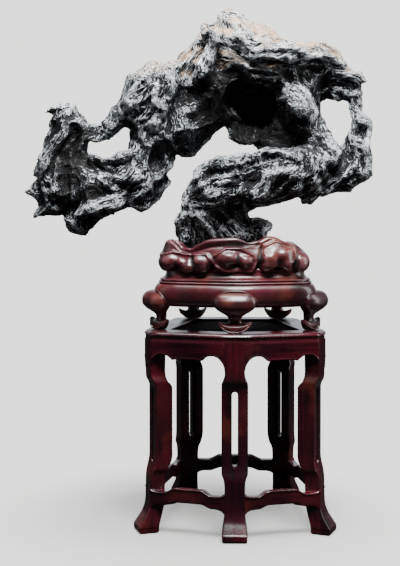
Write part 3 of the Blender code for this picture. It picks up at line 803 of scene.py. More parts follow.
@dataclass(frozen=True)
class StoneFinish:
    """Dark limestone: hollows in painted shade, blue-grey ridges in painted highlight, hair-thin pale veins
    and a painted ochre highlight on top.
    """

    name: str = "dark_limestone_dressed"
    slot: str = "dark_limestone"
    tones: tuple[tuple[float, str], ...] = ((0.0, "030305"), (0.20, "0a0c0f"), (0.38, "1e242a"),
                                            (0.54, "4a5159"), (0.72, "8f969c"), (0.92, "c8cdd0"))
    # Colour of the painted highlight on faces that look up near the crown.
    ochre: str = "c8a27c"
    green: str = "4a5038"
    coat_roughness: float = 0.3

    def material(self) -> bpy.types.Material:
        """The stone's material, from the attributes flow, fine_flow, lit, proud and top.

        Tone is lit (painted light and shade) plus the veins (crests less grooves, weaker in the painted
        shade), the proud places (painted highlight on them, painted shade in the hollows), the blotched and
        specked places and the cracks, and is read through the tones; green patches and a painted ochre
        highlight on faces that look up near the crown lie over it.

        Returns:
            The material.
        """
        made = bpy.data.materials.new(self.name)
        made.use_nodes = True
        w = Weaver(made.node_tree)
        shader = made.node_tree.nodes["Principled BSDF"]
        place = w.node("ShaderNodeTexCoord").outputs["Object"]
        lit, proud, top = w.attribute("lit"), w.attribute("proud"), w.attribute("top")
        wear_and_light = w.group(WEAR_AND_LIGHT, Vector=place, Proud=proud, Edge=0.58, Scale=90.0)
        wander = w.math("MULTIPLY", w.noise(place, 110.0, 3.0, 0.6), 0.22)
        fine = w.attribute("fine_flow")
        strata = w.group(STRATA, Flow=w.attribute("flow"), Cycles=1.35, Wander=wander)
        hair = w.group(STRATA, Flow=fine, Cycles=0.75, Wander=wander)
        thread = w.group(STRATA, Flow=fine, Cycles=1.6, Wander=w.math("MULTIPLY", wander, 3.0))
        blotch = w.noise(place, 30.0, 5.0, 0.62, 0.5)
        speck = w.noise(place, 560.0, 2.0, 0.6)
        strong = w.ramp(w.noise(place, 55.0, 3.0, 0.6), 0.36, 0.64, 0.5, 1.15)
        strong = w.math("MULTIPLY", strong, w.ramp(lit, -0.30, 0.40, 0.30, 1.0))
        lines = w.total((strata["Crest"], 0.62), (strata["Groove"], -0.72), (hair["Crest"], 0.56),
                        (hair["Groove"], -0.60), (thread["Crest"], 0.34), (thread["Groove"], -0.40))
        cells = w.node("ShaderNodeTexVoronoi", {"feature": "DISTANCE_TO_EDGE"}, Vector=place, Scale=110.0)
        # Painted light and shade: lit, and a painted highlight on proud places with painted shade in the
        # hollows.
        tone = w.total(lit, (lines, strong), w.ramp(proud, 0.25, 0.85, -0.16, 0.12),
                       w.ramp(blotch, 0.30, 0.70, -0.12, 0.12), w.ramp(speck, 0.3, 0.7, -0.10, 0.10),
                       w.ramp(cells.outputs[0], 0.0, 0.10, -0.30, 0.02))
        ramp = w.node("ShaderNodeValToRGB", Fac=tone)
        for spare in range(len(self.tones) - 2):
            ramp.color_ramp.elements.new(0.5 + spare / 100)
        for element, (position, code) in zip(ramp.color_ramp.elements, self.tones):
            element.position, element.color = position, linear(code)
        patch = w.ramp(w.noise(place, 15.0, 3.0, 0.55), 0.54, 0.70)
        colour = w.mix(w.math("MULTIPLY", patch, 0.22), ramp.outputs[0], linear(self.green), "OVERLAY")
        # Painted ochre highlight on faces that look up near the crown, broken up by noise.
        crown_highlight = w.math("MULTIPLY", top, w.ramp(w.noise(place, 40.0, 4.0, 0.6), 0.40, 0.54))
        colour = w.mix(w.math("MULTIPLY", crown_highlight, 0.8), colour, linear(self.ochre))
        w.link(colour, shader, "Base Color")
        rough = w.total(w.ramp(tone, 0.1, 0.8, 0.60, 0.36), w.ramp(speck, 0.3, 0.7, -0.06, 0.08),
                        (wear_and_light["Grime Shade"], 0.2))
        w.link(rough, shader, "Roughness")
        w.link(w.ramp(wear_and_light["Rubbed Highlight"], 0.0, 1.0, 0.0, 0.30), shader, "Coat Weight")
        shader.inputs["Coat Roughness"].default_value = self.coat_roughness
        pits = w.node("ShaderNodeTexVoronoi", {"feature": "SMOOTH_F1"}, Vector=place, Scale=190.0).outputs[0]
        height = w.total((strata["Wave"], 1.3), (hair["Wave"], 0.9), (blotch, 0.6), (pits, 0.3))
        bump = w.node("ShaderNodeBump", Height=height, Strength=0.7, Distance=0.0016)
        grit = w.node("ShaderNodeBump", Height=speck, Strength=0.3, Distance=0.0005, Normal=bump.outputs[0])
        w.link(grit.outputs[0], shader, "Normal")
        return made


def strata_group() -> bpy.types.NodeTree:
    """Strata: pale crests and dark grooves along lines of equal flow.

    Wave is |2 fract(flow x cycles + wander) - 1|, a crest where it nears 1 and a groove where it nears 0.

    Returns:
        The node group.
    """
    number = "NodeSocketFloat"
    tree, w, given, end = new_group(
        STRATA, [("Flow", number, 0.0), ("Cycles", number, 4.0), ("Wander", number, 0.0)],
        [("Crest", number), ("Groove", number), ("Wave", number)])
    phase = w.math("ADD", w.math("MULTIPLY", given["Flow"], given["Cycles"]), given["Wander"])
    wave = w.math("MULTIPLY", w.math("ABSOLUTE", w.math("SUBTRACT", w.math("FRACT", phase), 0.5)), 2.0)
    w.link(w.ramp(wave, 0.62, 0.92), end, "Crest")
    w.link(w.ramp(wave, 0.34, 0.10), end, "Groove")
    w.link(wave, end, "Wave")
    return tree


POLISHED = WoodFinish("polished_rosewood_dressed", "polished_rosewood", "080205", "2a0814", "4a121c",
                      "642c36", 0.24, 0.40)
CARVED = WoodFinish("carved_rosewood_dressed", "carved_rosewood", "0a0307", "3c1119", "5e242c", "8e5a60",
                    0.33, 0.40, 0.6, shine=0.6, warmth="7c3c30")
# Painted shade: the panel is coloured near black and nearly matte where it lies in the seat's shadow.
PANEL_SHADE = WoodFinish("panel_shade_dressed", "blackened_panel", "020203", "040405", "080607",
                       "141012", 0.75, 0.0, shine=0.06, mottle=0.0)


def dress(item: bpy.types.Object, material: bpy.types.Material, node: str) -> None:
    """Give a piece its finish and its body, hide the CAD node it stands for, and report it.

    Args:
        item: the piece.
        material: what it is finished in.
        node: the CAD node it stands for.
    """
    item.data.materials.clear()
    item.data.materials.append(material)
    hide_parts(node)
    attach(item, BODY)
    log.info("%s: %d points", item.name, len(item.data.vertices))


# ===== the tall stand =======================================================================================
@dataclass
class TallStand:
    """The stand's frame, panel, aprons, legs and stretchers.

    Half widths and the slot's sizes are in metres, all else in mm. A row of the leg's table is height, half
    width, inset of the outer face and thickness; of the moulding, inset and height; of the arch, distance
    along the apron and height.
    """

    finish: WoodFinish = POLISHED
    panel_finish: WoodFinish = PANEL_SHADE
    neck_half: float = 0.014
    ankle_half: float = 0.0134
    slot_half: float = 0.0041
    slot_low: float = 0.099
    slot_high: float = 0.204
    leg_top: float = 273.0
    apron_top: float = 273.3
    apron_inset: float = 1.6
    apron_back: float = 12.5
    frame_steps: tuple[int, ...] = (9, 60, 9)
    panel_steps: tuple[int, ...] = (4, 14)
    leg_table: tuple[tuple[float, float, float, float], ...] = (
        (0, 16.4, -13.8, 25.8), (1.4, 17.2, -15.0, 28.0), (4.5, 17.5, -15.5, 29.0),
        (6.6, 17.3, -15.2, 28.6), (7.8, 17.9, -15.4, 29.0), (12, 17.7, -12.9, 27.0), (19, 16.6, -8.4, 24.6),
        (26, 15.4, -4.0, 22.6), (40, 14.3, 0.4, 21.5), (62, 14.2, 1.4, 21.5), (79, 14.8, 2.0, 21.5),
        (84, 16.0, 3.0, 21.5), (88, 17.7, 4.2, 21.5), (91, 18.5, 5.2, 21.4), (97, 18.6, 6.7, 23.0),
        (103, 18.6, 7.8, 24.2), (110, 18.6, 8.2, 24.6), (150, 18.6, 8.2, 24.6), (205, 18.6, 8.2, 24.6),
        (210.5, 18.6, 6.9, 23.2), (214, 18.3, 4.9, 21.6), (218, 16.8, 2.9, 22.0), (223, 14.9, 1.9, 22.0),
        (232, 14.0, 1.6, 21.9), (273, 14.0, 1.5, 22.0))
    moulding: tuple[tuple[float, float], ...] = (
        (37.2, 285.0), (30.0, 285.0), (20.0, 285.0), (10.0, 285.0), (5.8, 285.0), (5.2, 284.8),
        (4.8, 284.3), (4.4, 284.1), (4.0, 284.3), (3.5, 284.6), (3.0, 284.6), (2.4, 284.2), (1.6, 283.5),
        (0.9, 282.7), (0.4, 281.9), (0.0, 281.0), (0.1, 280.4), (0.5, 279.9), (1.1, 279.6), (1.5, 279.1),
        (1.6, 277.0), (1.6, 273.4), (20.0, 273.4), (37.5, 273.4), (38.0, 284.2))
    arch: tuple[tuple[float, float], ...] = (
        (0, 231.0), (2, 240.0), (6, 247.2), (12, 252.4), (19.5, 254.2), (27.5, 252.8), (32, 249.8),
        (36, 246.6))

    def build(self) -> None:
        """Make and dress every piece of the stand."""
        for leg, name in enumerate(LEG_NAMES):
            self.leg(leg, name)
        for side, name in enumerate(SIDE_NAMES):
            direction = PLAN.side(side)[1]
            heading = math.degrees(math.atan2(direction[1], direction[0]))
            level = self.finish.material(Grain.LEVEL, heading)
            for kind, skin in (("frame", self.frame_member(side)), ("apron", self.apron(side)),
                               ("stretcher", self.stretcher(side))):
                item = skin.piece(f"{kind}_{name}_dressed")
                mark_relief(item, 0.55)
                dress(item, level, f"{kind}_{name}")
        item = self.panel().piece("top_panel_dressed")
        mark_relief(item, 0.5)
        dress(item, self.panel_finish.material(Grain.LEVEL, 0.0), "top_panel")

    def leg(self, leg: int, name: str) -> None:
        """One tall leg, less a slot: rounded rectangles along z, sized from the leg's table.

        Args:
            leg: its place in the plan.
            name: its name in the plan.
        """
        table = np.array(self.leg_table)
        knots = table[:, 0]
        z = np.unique(np.concatenate([np.linspace(0, self.leg_top, 150), np.linspace(200, 226, 30),
                                      np.linspace(84, 104, 24), np.linspace(0, 14, 16)]))
        half, inset, thick = (smooth_curve(z, knots, table[:, k]) * MM for k in (1, 2, 3))
        radius = np.interp(z, [228, 244], [2.0, 0.3]) * MM
        x, y = rounded_box(half, thick / 2, radius)
        y = y + (inset + thick / 2)[:, None]
        rings = np.stack([x, y, np.broadcast_to(z[:, None] * MM, x.shape)], axis=-1)
        angle, spot = PLAN.angles[leg], PLAN.spots[leg]
        item = tube(turned(rings, angle, spot)).piece(f"stand_leg_{name}_dressed", 50)
        self.cut_slot(item, angle, spot)
        mark_relief(item, 0.3)
        dress(item, self.finish.material(Grain.UPRIGHT, 0.0), f"stand_leg_{name}")

    def cut_slot(self, item: bpy.types.Object, angle: float, spot: tuple[float, float]) -> None:
        """Cut a long slot with round ends and flared mouths through a leg.

        The cutter's ring is the slot's outline pushed out by f(y), which is 0 inside the leg and rises to
        about 1.3 mm at its faces.

        Args:
            item: the leg.
            angle: the way it faces, in degrees.
            spot: its place in the plan.
        """
        turn = np.linspace(0, math.pi, 13)
        outline = np.concatenate([
            np.stack([np.cos(turn), np.sin(turn), np.full(13, self.slot_high - self.slot_half)], axis=1),
            np.stack([np.cos(turn + math.pi), np.sin(turn + math.pi),
                      np.full(13, self.slot_low + self.slot_half)], axis=1)])
        depth = np.array([4.0, 8.2, 9.5, 10.6, 11.2, 28.8, 29.4, 30.5, 31.8, 36.0]) * MM
        flare = np.array([1.4, 1.4, 1.3, 0.25, 0.0, 0.0, 0.25, 1.3, 1.4, 1.4]) * MM
        reach = self.slot_half + flare[:, None]
        rings = np.stack([outline[:, 0] * reach, np.broadcast_to(depth[:, None], (10, 26)),
                          outline[:, 2] + outline[:, 1] * reach], axis=-1)
        cutter = tube(turned(rings, angle, spot)).piece("slot_cutter")
        step = item.modifiers.new("slot", "BOOLEAN")
        step.operation, step.solver, step.object = "DIFFERENCE", "EXACT", cutter
        settle(item)
        bpy.data.objects.remove(cutter)
        item.data.shade_smooth()
        item.data.set_sharp_from_angle(angle=math.radians(40))

    def frame_member(self, side: int) -> Skin:
        """A frame member: the edge moulding carried from the middle of one leg to the middle of the next.

        A point is base(s) + inset(u) slope(s) in plan, at height z(u), with s along the path and u round the
        moulding, which has a quirk and a bead along the edge of its flat top.

        Args:
            side: its place in the plan.

        Returns:
            The member's skin.
        """
        inset, height = np.array(self.moulding).T
        stops = [PLAN.station(side, 0), PLAN.station(side, 1), PLAN.station(side + 1, -1),
                 PLAN.station(side + 1, 0)]
        hair = PLAN.clearance / 16
        stops[0] = (stops[0][0] + PLAN.along(side) * hair, stops[0][1])
        stops[3] = (stops[3][0] - PLAN.along(side + 1) * hair, stops[3][1])
        base, slope = self.between(stops, self.frame_steps)
        return swept(self.eased(base), self.eased(slope), inset[None], height[None])

    def eased(self, path: np.ndarray, reach: int = 6) -> np.ndarray:
        """Soften a path's corners with a raised-cosine average, its ends staying where they are.

        Args:
            path: (n, 2) points.
            reach: steps taken in on each side.

        Returns:
            The softened path.
        """
        window = np.hanning(2 * reach + 3)[1:-1]
        window /= window.sum()
        before = 2 * path[:1] - path[reach:0:-1]
        after = 2 * path[-1:] - path[-2:-reach - 2:-1]
        padded = np.concatenate([before, path, after])
        return np.stack([np.convolve(padded[:, k], window, mode="valid") for k in (0, 1)], axis=1)

    def between(self, stops: list[tuple[np.ndarray, np.ndarray]],
                counts: tuple[int, ...]) -> tuple[np.ndarray, np.ndarray]:
        """Even steps between stops: base and slope both run (1 - t) a + t b over each stretch.

        Args:
            stops: base and slope at each stop.
            counts: steps on each stretch.

        Returns:
            All bases and all slopes.
        """
        bases, slopes = [stops[0][0][None]], [stops[0][1][None]]
        for (b0, s0), (b1, s1), count in zip(stops, stops[1:], counts):
            t = (np.arange(count) + 1)[:, None] / count
            bases.append(b0 * (1 - t) + b1 * t)
            slopes.append(s0 * (1 - t) + s1 * t)
        return np.concatenate(bases), np.concatenate(slopes)

    def apron(self, side: int) -> Skin:
        """An apron with an arch at each leg, flush with the frame's band.

        The lower edge is the arch table from each leg and level between the cusps, at
        246.6 + 1.4 (1 - exp(-d / 4)) mm with d the distance from the cusp; the face has a bead of
        0.5 exp(-((z - low - 1.6) / 0.9)^2) mm along it.

        Args:
            side: its place in the plan.

        Returns:
            The apron's skin.
        """
        stops = [self.on_face(side, 1), PLAN.station(side, 1),
                 PLAN.station(side + 1, -1), self.on_face(side + 1, -1)]
        bases, slopes = np.array([stop[0] for stop in stops]), np.array([stop[1] for stop in stops])
        knots = np.concatenate([[0.0], np.cumsum(np.linalg.norm(np.diff(bases, axis=0), axis=1))]) / MM
        length = knots[-1]
        arch = np.array(self.arch)
        cusp, cusp_z = self.arch[-1]
        half = np.unique(np.concatenate([np.linspace(0, cusp, 34), np.linspace(0, 3, 6), [36.6, 37.5, 39.5],
                                         np.linspace(42, length / 2, 8)]))
        low_half = np.where(half <= cusp, smooth_curve(half, arch[:, 0], arch[:, 1]),
                            cusp_z + 1.4 * (1 - np.exp(-(half - cusp) / 4)))
        path = np.concatenate([half, length - half[::-1][1:]])
        base = np.stack([np.interp(path, knots, bases[:, k]) for k in (0, 1)], axis=1)
        slope = np.stack([np.interp(path, knots, slopes[:, k]) for k in (0, 1)], axis=1)
        low = np.concatenate([low_half, low_half[::-1][1:]])[:, None]
        strip = 5.0
        rise = np.concatenate([np.linspace(0, strip, 12), np.full(8, strip)])[None]
        climb = np.concatenate([np.zeros(12), np.linspace(0, 1, 9)[1:]])[None]
        height = low + rise + climb * (self.apron_top - strip - low)
        inset = self.apron_inset - 0.5 * bell(height - low - 1.6, 0.9)
        inset[:, 0] += 0.5
        back_z = low + (self.apron_top - low) * np.array([1.0, 0.6, 0.3, 0.02])[None]
        inset = np.concatenate([inset, np.full(back_z.shape, self.apron_back)], axis=1)
        return swept(base, slope, inset, np.concatenate([height, back_z], axis=1))

    def on_face(self, leg: int, end: int) -> tuple[np.ndarray, np.ndarray]:
        """Point of a leg's face a hair inside its neck's flank (end -1 or +1), as base + inset x slope."""
        reach = (self.neck_half - 2 * PLAN.clearance) * end
        return np.array(PLAN.spots[leg % 5]) + PLAN.along(leg) * reach, -PLAN.outward(leg)

    def stretcher(self, side: int) -> Skin:
        """A humpback stretcher, filleted into the legs, with a raised bead on its upper front edge.

        low(t) = 41 + 5 h(t) - 9 exp(-d / 4.5) and high(t) = 59 + 7 h(t) + 4 exp(-d / 3.5) mm, where h is a
        smooth step from 0.18 to 0.33 of the length and d the distance from the nearer leg.

        Args:
            side: its place in the plan.

        Returns:
            The stretcher's skin.
        """
        start, end = PLAN.flank(side, 0, self.ankle_half), PLAN.flank(side, 1, self.ankle_half)
        length = np.linalg.norm(end[0] - start[0]) / MM
        t = np.unique(np.concatenate([np.linspace(0, 1, 70), np.linspace(0, 0.12, 14),
                                      np.linspace(0.88, 1, 14)]))
        fold = np.minimum(t, 1 - t)
        d = fold * length
        run = np.clip((fold - 0.18) / 0.15, 0, 1)
        hump = run * run * (3 - 2 * run)
        low = 41 + 5 * hump - 9 * np.exp(-d / 4.5)
        high = 59 + 7 * hump + 4 * np.exp(-d / 3.5)
        nose = np.linspace(math.radians(-60), math.radians(95), 8)
        n = len(t)
        low, high = low[:, None], high[:, None]
        middle = (low + high) / 2
        face_z = np.concatenate([low + np.array([0.0, 0.7, 2.2]), middle + [-4.0, 3.0], high - 3.6,
                                 high - 1.5 + 1.5 * np.sin(nose)], axis=1)
        face_in = np.concatenate([np.broadcast_to([4.9, 4.2, 4.0, 4.0, 4.0, 4.0], (n, 6)),
                                  np.broadcast_to(4.3 - 1.2 * np.cos(nose), (n, 8))], axis=1)
        back_z = np.concatenate([high - np.array([0.3, 1.6]), middle, low + np.array([1.4, 0.1])], axis=1)
        back_in = np.broadcast_to([13.6, 15.0, 15.0, 15.0, 13.8], (n, 5))
        inset, height = np.concatenate([face_in, back_in], axis=1), np.concatenate([face_z, back_z], axis=1)
        share = t[:, None]
        base, slope = start[0] * (1 - share) + end[0] * share, start[1] * (1 - share) + end[1] * share
        return swept(base, slope, inset, height)

    def panel(self) -> Skin:
        """The sunk panel: rings of the plan's figure inside the frame, with an eased upper edge.

        Returns:
            The panel's skin.
        """
        stops = [PLAN.station(leg, place) for leg in range(5) for place in (-1, 1)]
        base, slope = self.between(stops + stops[:1], self.panel_steps * 5)
        base, slope = base[:-1], slope[:-1]
        inset = np.array([39.0, 38.4, 38.4, 38.8, 39.6, 45.0, 60.0]) * MM
        height = np.array([275.0, 275.4, 280.8, 281.3, 281.5, 281.5, 281.5]) * MM
        spots = base[None] + inset[:, None, None] * slope[None]
        level = np.broadcast_to(height[:, None, None], spots.shape[:2] + (1,))
        return tube(to_frame(np.concatenate([spots, level], axis=-1)))


# ===== the carved seat ======================================================================================
@dataclass
class CarvedSeat:
    """The rock-work seat with its waist, the belly under it and the five short legs.

    Angles are in degrees, spots in metres, all else in mm. A row of the leg's table is height, half width,
    inset and thickness; of the belly and the waist, share of the plan's radius and height; of the lip, x and
    height; of the knobs, x, z, two radii and how far they stand out; of a ribbon, how far it stands out, its
    width, then its x and z in turn.
    """

    finish: WoodFinish = CARVED
    belly_steps: int = 220
    block_steps: int = 420
    angles: tuple[float, ...] = (0.0, 58.0, 155.0, 205.0, 302.0)
    spots: tuple[tuple[float, float], ...] = ((0.0, -0.1224), (0.1142, -0.0685), (0.0698, 0.099),
                                              (-0.0698, 0.099), (-0.1146, -0.0685))
    leg_table: tuple[tuple[float, float, float, float], ...] = (
        (285.3, 9.5, 1.8, 12.4), (286.2, 14.5, 0.4, 14.2), (288.2, 19.0, -0.8, 15.4),
        (291.2, 22.8, -1.6, 16.2), (293.8, 23.4, -1.2, 15.8), (295.4, 20.0, 0.4, 14.8),
        (296.8, 13.0, 2.6, 13.4), (298.6, 9.8, 3.6, 12.8), (304, 9.0, 3.4, 13.2), (307.5, 10.2, 1.4, 15.0),
        (311, 14.6, -3.4, 19.2), (315, 21.2, -8.8, 25.2), (319, 26.2, -12.2, 28.8),
        (324, 29.2, -13.6, 30.2), (329, 29.6, -13.4, 30.0), (334, 28.4, -11.2, 27.4),
        (337.4, 26.0, -8.6, 24.4), (339.8, 21.0, -5.0, 19.0), (341.2, 13.0, -1.0, 12.0),
        (341.7, 6.0, 1.0, 8.0))
    belly_table: tuple[tuple[float, float], ...] = (
        (0.775, 319.0), (0.815, 319.6), (0.850, 322.0), (0.882, 327.0), (0.897, 334.0), (0.899, 340.5),
        (0.893, 345.4), (0.878, 349.0), (0.860, 350.9), (0.838, 351.9))
    waist: tuple[tuple[float, float], ...] = (
        (0.832, 352.3), (0.852, 352.6), (0.858, 353.5), (0.851, 354.6), (0.834, 355.1), (0.832, 356.1),
        (0.842, 356.8), (0.841, 358.0), (0.826, 358.9), (0.806, 360.0), (0.790, 361.8), (0.780, 364.2),
        (0.776, 366.8), (0.775, 369.4))
    lip: tuple[tuple[float, float], ...] = (
        (-112, 386), (-99, 393), (-92, 404), (-88, 414), (-80, 413), (-69, 403), (-58, 402), (-47, 408),
        (-36, 414), (-14, 417), (2, 418), (20, 411), (33, 413), (46, 419), (56, 418), (66, 411), (74, 407),
        (84, 402), (92, 394), (100, 386), (112, 380))
    knobs: tuple[tuple[float, float, float, float, float], ...] = (
        (-97, 382, 11, 11, 8), (-67, 375, 7.5, 7, 5), (-77, 381, 5, 6, 3), (-46, 380, 12.5, 11, 7.5),
        (-53, 388, 7, 6, 3), (-10, 389, 14, 8.5, 6.5), (15, 385, 8, 7, 5), (2, 377, 9, 4.5, -5),
        (60, 397, 19, 12, 7), (71, 389, 9, 9, 4), (48, 382, 11, 11, 8), (73, 378, 9, 8, 5),
        (40, 391, 5, 7, 3), (94, 384, 11, 11, 8), (83, 399, 9, 8, 4), (91, 373, 8, 5, 3),
        (34, 376, 3.5, 11, -4.5), (84, 378, 4, 10, -4.5), (60, 373, 11, 4, -4.5), (-60, 387, 3.5, 8, -3),
        (-33, 375, 5, 8, -4), (-84, 373, 7, 6, -4.5), (4, 388, 3, 7, -2.5))
    ribbons: tuple[tuple[float, ...], ...] = (
        (-4.2, 2.2, -88, 412, -80, 405, -73, 399, -65, 397, -49, 402, -35, 406, -13, 408, 13, 408, 32, 408),
        (2.6, 1.8, -104, 392, -87, 397, -72, 393, -52, 393, -39, 394, -34, 388, -28, 379, -15, 372, 7, 368,
         24, 371, 30, 384, 27, 392, 7, 402, -13, 402, -28, 392),
        (-3.2, 2.0, 37, 404, 36, 394, 37, 383, 32, 371, 20, 366),
        (2.4, 2.0, 42, 405, 55, 411, 69, 407, 80, 399, 83, 389, 81, 382))

    def build(self) -> None:
        """Make and dress the seat, the belly and the short legs."""
        level = self.finish.material(Grain.LEVEL, 0.0)
        item = self.block().piece("rock_seat_dressed", 60)
        mark_relief(item, 0.38, 14)
        dress(item, level, "rock_seat")
        item = self.belly().piece("seat_belly_dressed", 50)
        mark_relief(item, 1.2, 2)
        dress(item, level, "seat_belly")
        for name, angle, spot in zip(LEG_NAMES, self.angles, self.spots):
            skin = self.leg(angle, spot).joined(self.rim(angle, spot)).joined(self.outline(angle, spot))
            item = skin.piece(f"seat_leg_{name}_dressed", 50)
            mark_relief(item, 0.9)
            dress(item, self.finish.material(Grain.UPRIGHT, 0.0), f"seat_leg_{name}")

    def leg(self, angle: float, spot: tuple[float, float]) -> Skin:
        """A short leg with a cushion knee and a foot whose ends curl up.

        Rings are super-ellipses |x / a|^p + |y / b|^p = 1 with p = 2.5, and the foot's points rise by
        7.5 (|x| / 23.5)^3 mm.

        Args:
            angle: the way it faces, in degrees.
            spot: its place in the plan.

        Returns:
            The leg's skin.
        """
        table = np.array(self.leg_table)
        z = np.unique(np.concatenate([np.linspace(285.3, 341.7, 80), np.linspace(285.3, 299, 34),
                                      np.linspace(336, 341.7, 14)]))
        half, inset, thick = (smooth_curve(z, table[:, 0], table[:, k]) for k in (1, 2, 3))
        u = (np.arange(56) + 0.5) * 2 * math.pi / 56
        power = 2.5
        squash = (np.abs(np.cos(u)) ** power + np.abs(np.sin(u)) ** power) ** (-1 / power)
        x = half[:, None] * (np.cos(u) * squash)[None]
        y = (inset + thick / 2)[:, None] + thick[:, None] / 2 * (np.sin(u) * squash)[None]
        foot = np.clip((z - 285) / 1.5, 0.2, 1) * np.clip((300.5 - z) / 3, 0, 1)
        height = z[:, None] + 7.5 * foot[:, None] * (np.abs(x) / 23.5) ** 3
        return tube(turned(np.stack([x, y, height], axis=-1) * MM, angle, spot))

    def rim(self, angle: float, spot: tuple[float, float]) -> Skin:
        """The bead along the lower edge of a foot: z = 286.4 + 12.4 (|x| / 23.6)^2.4 mm from tip to tip.

        Args:
            angle: the way the leg faces, in degrees.
            spot: its place in the plan.

        Returns:
            The bead's skin.
        """
        tip = 23.6
        x = np.linspace(-tip, tip, 40)
        z = 286.4 + 12.4 * (np.abs(x) / tip) ** 2.4
        y = -1.7 + 8.2 * (np.abs(x) / tip) ** 3.5
        return cord_of(turned(np.stack([x, y, z], axis=-1) * MM, angle, spot), 0.9 * MM)

    def outline(self, angle: float, spot: tuple[float, float]) -> Skin:
        """The thin raised line round a knee, lying on the belly.

        Its front view is the ellipse (31 cos u, 326 + 18 sin u) mm; each point's depth is where that line
        meets the belly, found by halving the distance forty times.

        Args:
            angle: the way the leg faces, in degrees.
            spot: its place in the plan.

        Returns:
            The bead's skin.
        """
        u = np.linspace(math.radians(-14), math.radians(194), 60)
        x, z = 31.0 * np.cos(u) * MM, (326 + 18 * np.sin(u)) * MM
        shares, heights = zip(*self.belly_table)
        share = np.interp(z / MM, heights, shares)
        a = math.radians(angle)
        near, far = np.full(len(u), -0.04), np.full(len(u), 0.06)
        for _ in range(40):
            depth = (near + far) / 2
            px = x * math.cos(a) - depth * math.sin(a) + spot[0]
            py = x * math.sin(a) + depth * math.cos(a) + spot[1]
            outside = np.hypot(px, py) > PLAN.soft_radius(np.arctan2(px, -py)) * share
            near, far = np.where(outside, depth, near), np.where(outside, far, depth)
        path = turned(np.stack([x, (near + far) / 2, z], axis=-1), angle, spot)
        return cord_of(path, 1.1 * MM)

    def ring_points(self, shares: np.ndarray, heights: np.ndarray, turns: np.ndarray) -> np.ndarray:
        """Points at share x r(a) from the axis: (sin a r, -cos a r, z), for (n, m) shares and heights."""
        radius = PLAN.soft_radius(turns)[None, :] * shares
        return np.stack([np.sin(turns)[None] * radius, -np.cos(turns)[None] * radius, heights], axis=-1)

    def belly(self) -> Skin:
        """The drum: the belly's profile carried round the softened plan.

        Returns:
            The belly's skin.
        """
        table = np.array(self.belly_table)
        t = np.linspace(0, 1, 40)
        knots = np.linspace(0, 1, len(table))
        share, height = smooth_curve(t, knots, table[:, 0]), smooth_curve(t, knots, table[:, 1])
        turns = np.arange(self.belly_steps) * 2 * math.pi / self.belly_steps
        shares = np.repeat(share[:, None], self.belly_steps, axis=1)
        heights = np.repeat(height[:, None], self.belly_steps, axis=1) * MM
        return tube(to_frame(self.ring_points(shares, heights, turns)))

    def block(self) -> Skin:
        """The seat block: a moulded waist, then rock-work whose lip rolls over round the stone's foot.

        Base form: share and height along a profile, with the lip's height h(a) read from the lip table at the
        front and waving at the back. Then every point moves along the surface's normal by the sum of the
        rolled lip, the knobs A exp(-rho^2.8), with rho the elliptic distance in front view, and the ribbons
        A exp(-(d / w)^2), with d the distance from a drawn line; turned round, they also cover the back.

        Returns:
            The block's skin.
        """
        steps = self.block_steps
        turns = np.arange(steps) * 2 * math.pi / steps
        radius = PLAN.soft_radius(turns)
        front = np.cos(turns)
        reach = np.sin(turns) * radius * 0.70 / MM - 4
        table = np.array(self.lip)
        lip_front = smooth_curve(reach, table[:, 0], table[:, 1])
        lip_back = 403 + 4.5 * np.sin(5 * turns + 0.6) + 3.5 * np.sin(8 * turns + 2.0)
        blend = np.clip(front * 3 + 0.5, 0, 1)
        lip = lip_front * blend + lip_back * (1 - blend)
        waist = np.array(self.waist)
        k = np.linspace(0, 1, 34)
        waist_share = smooth_curve(k, np.linspace(0, 1, len(waist)), waist[:, 0])
        waist_z = smooth_curve(k, np.linspace(0, 1, len(waist)), waist[:, 1])
        v = np.linspace(0, 1, 96)[1:]
        knots = [0, 0.06, 0.16, 0.32, 0.48, 0.62, 0.76, 0.84, 0.88, 0.92, 0.96, 1.0]
        body_share = smooth_curve(v, knots, [0.775, 0.792, 0.816, 0.822, 0.806, 0.782, 0.756, 0.738, 0.716,
                                             0.680, 0.620, 0.52])
        climb = smooth_curve(v, knots, [0.0, 0.03, 0.16, 0.38, 0.58, 0.76, 0.92, 0.985, 1.0, 0.96, 0.84,
                                        0.62])
        foot = waist[-1, 1]
        body_z = foot + climb[:, None] * (lip - foot)[None, :]
        shares = np.concatenate([np.repeat(waist_share[:, None], steps, axis=1),
                                 np.repeat(body_share[:, None], steps, axis=1)])
        heights = np.concatenate([np.repeat(waist_z[:, None], steps, axis=1), body_z])
        points = self.ring_points(shares, heights * MM, turns)
        shift = np.clip((heights - 380) / 20, 0, 1) * -6.0 * MM
        points[..., 0] += shift
        carve = np.concatenate([np.zeros(len(k)), np.clip(np.minimum(v * 14, (1 - v) * 9), 0, 1)])[:, None]
        proud = self.relief(points, lip[None, :], turns[None, :]) * carve
        points += self.normals(points) * proud[..., None] * MM
        return tube(to_frame(points))

    def normals(self, points: np.ndarray) -> np.ndarray:
        """Unit normals of a grid of rings: the cross product of its two gradients, which points outwards.

        Args:
            points: (n, m, 3) points, m round a ring.

        Returns:
            The normals, in points' shape.
        """
        wrapped = np.concatenate([points[:, -1:], points, points[:, :1]], axis=1)
        round_ring = wrapped[:, 2:] - wrapped[:, :-2]
        up = np.gradient(points, axis=0)
        normal = np.cross(round_ring, up)
        return normal / np.maximum(np.linalg.norm(normal, axis=-1, keepdims=True), 1e-12)

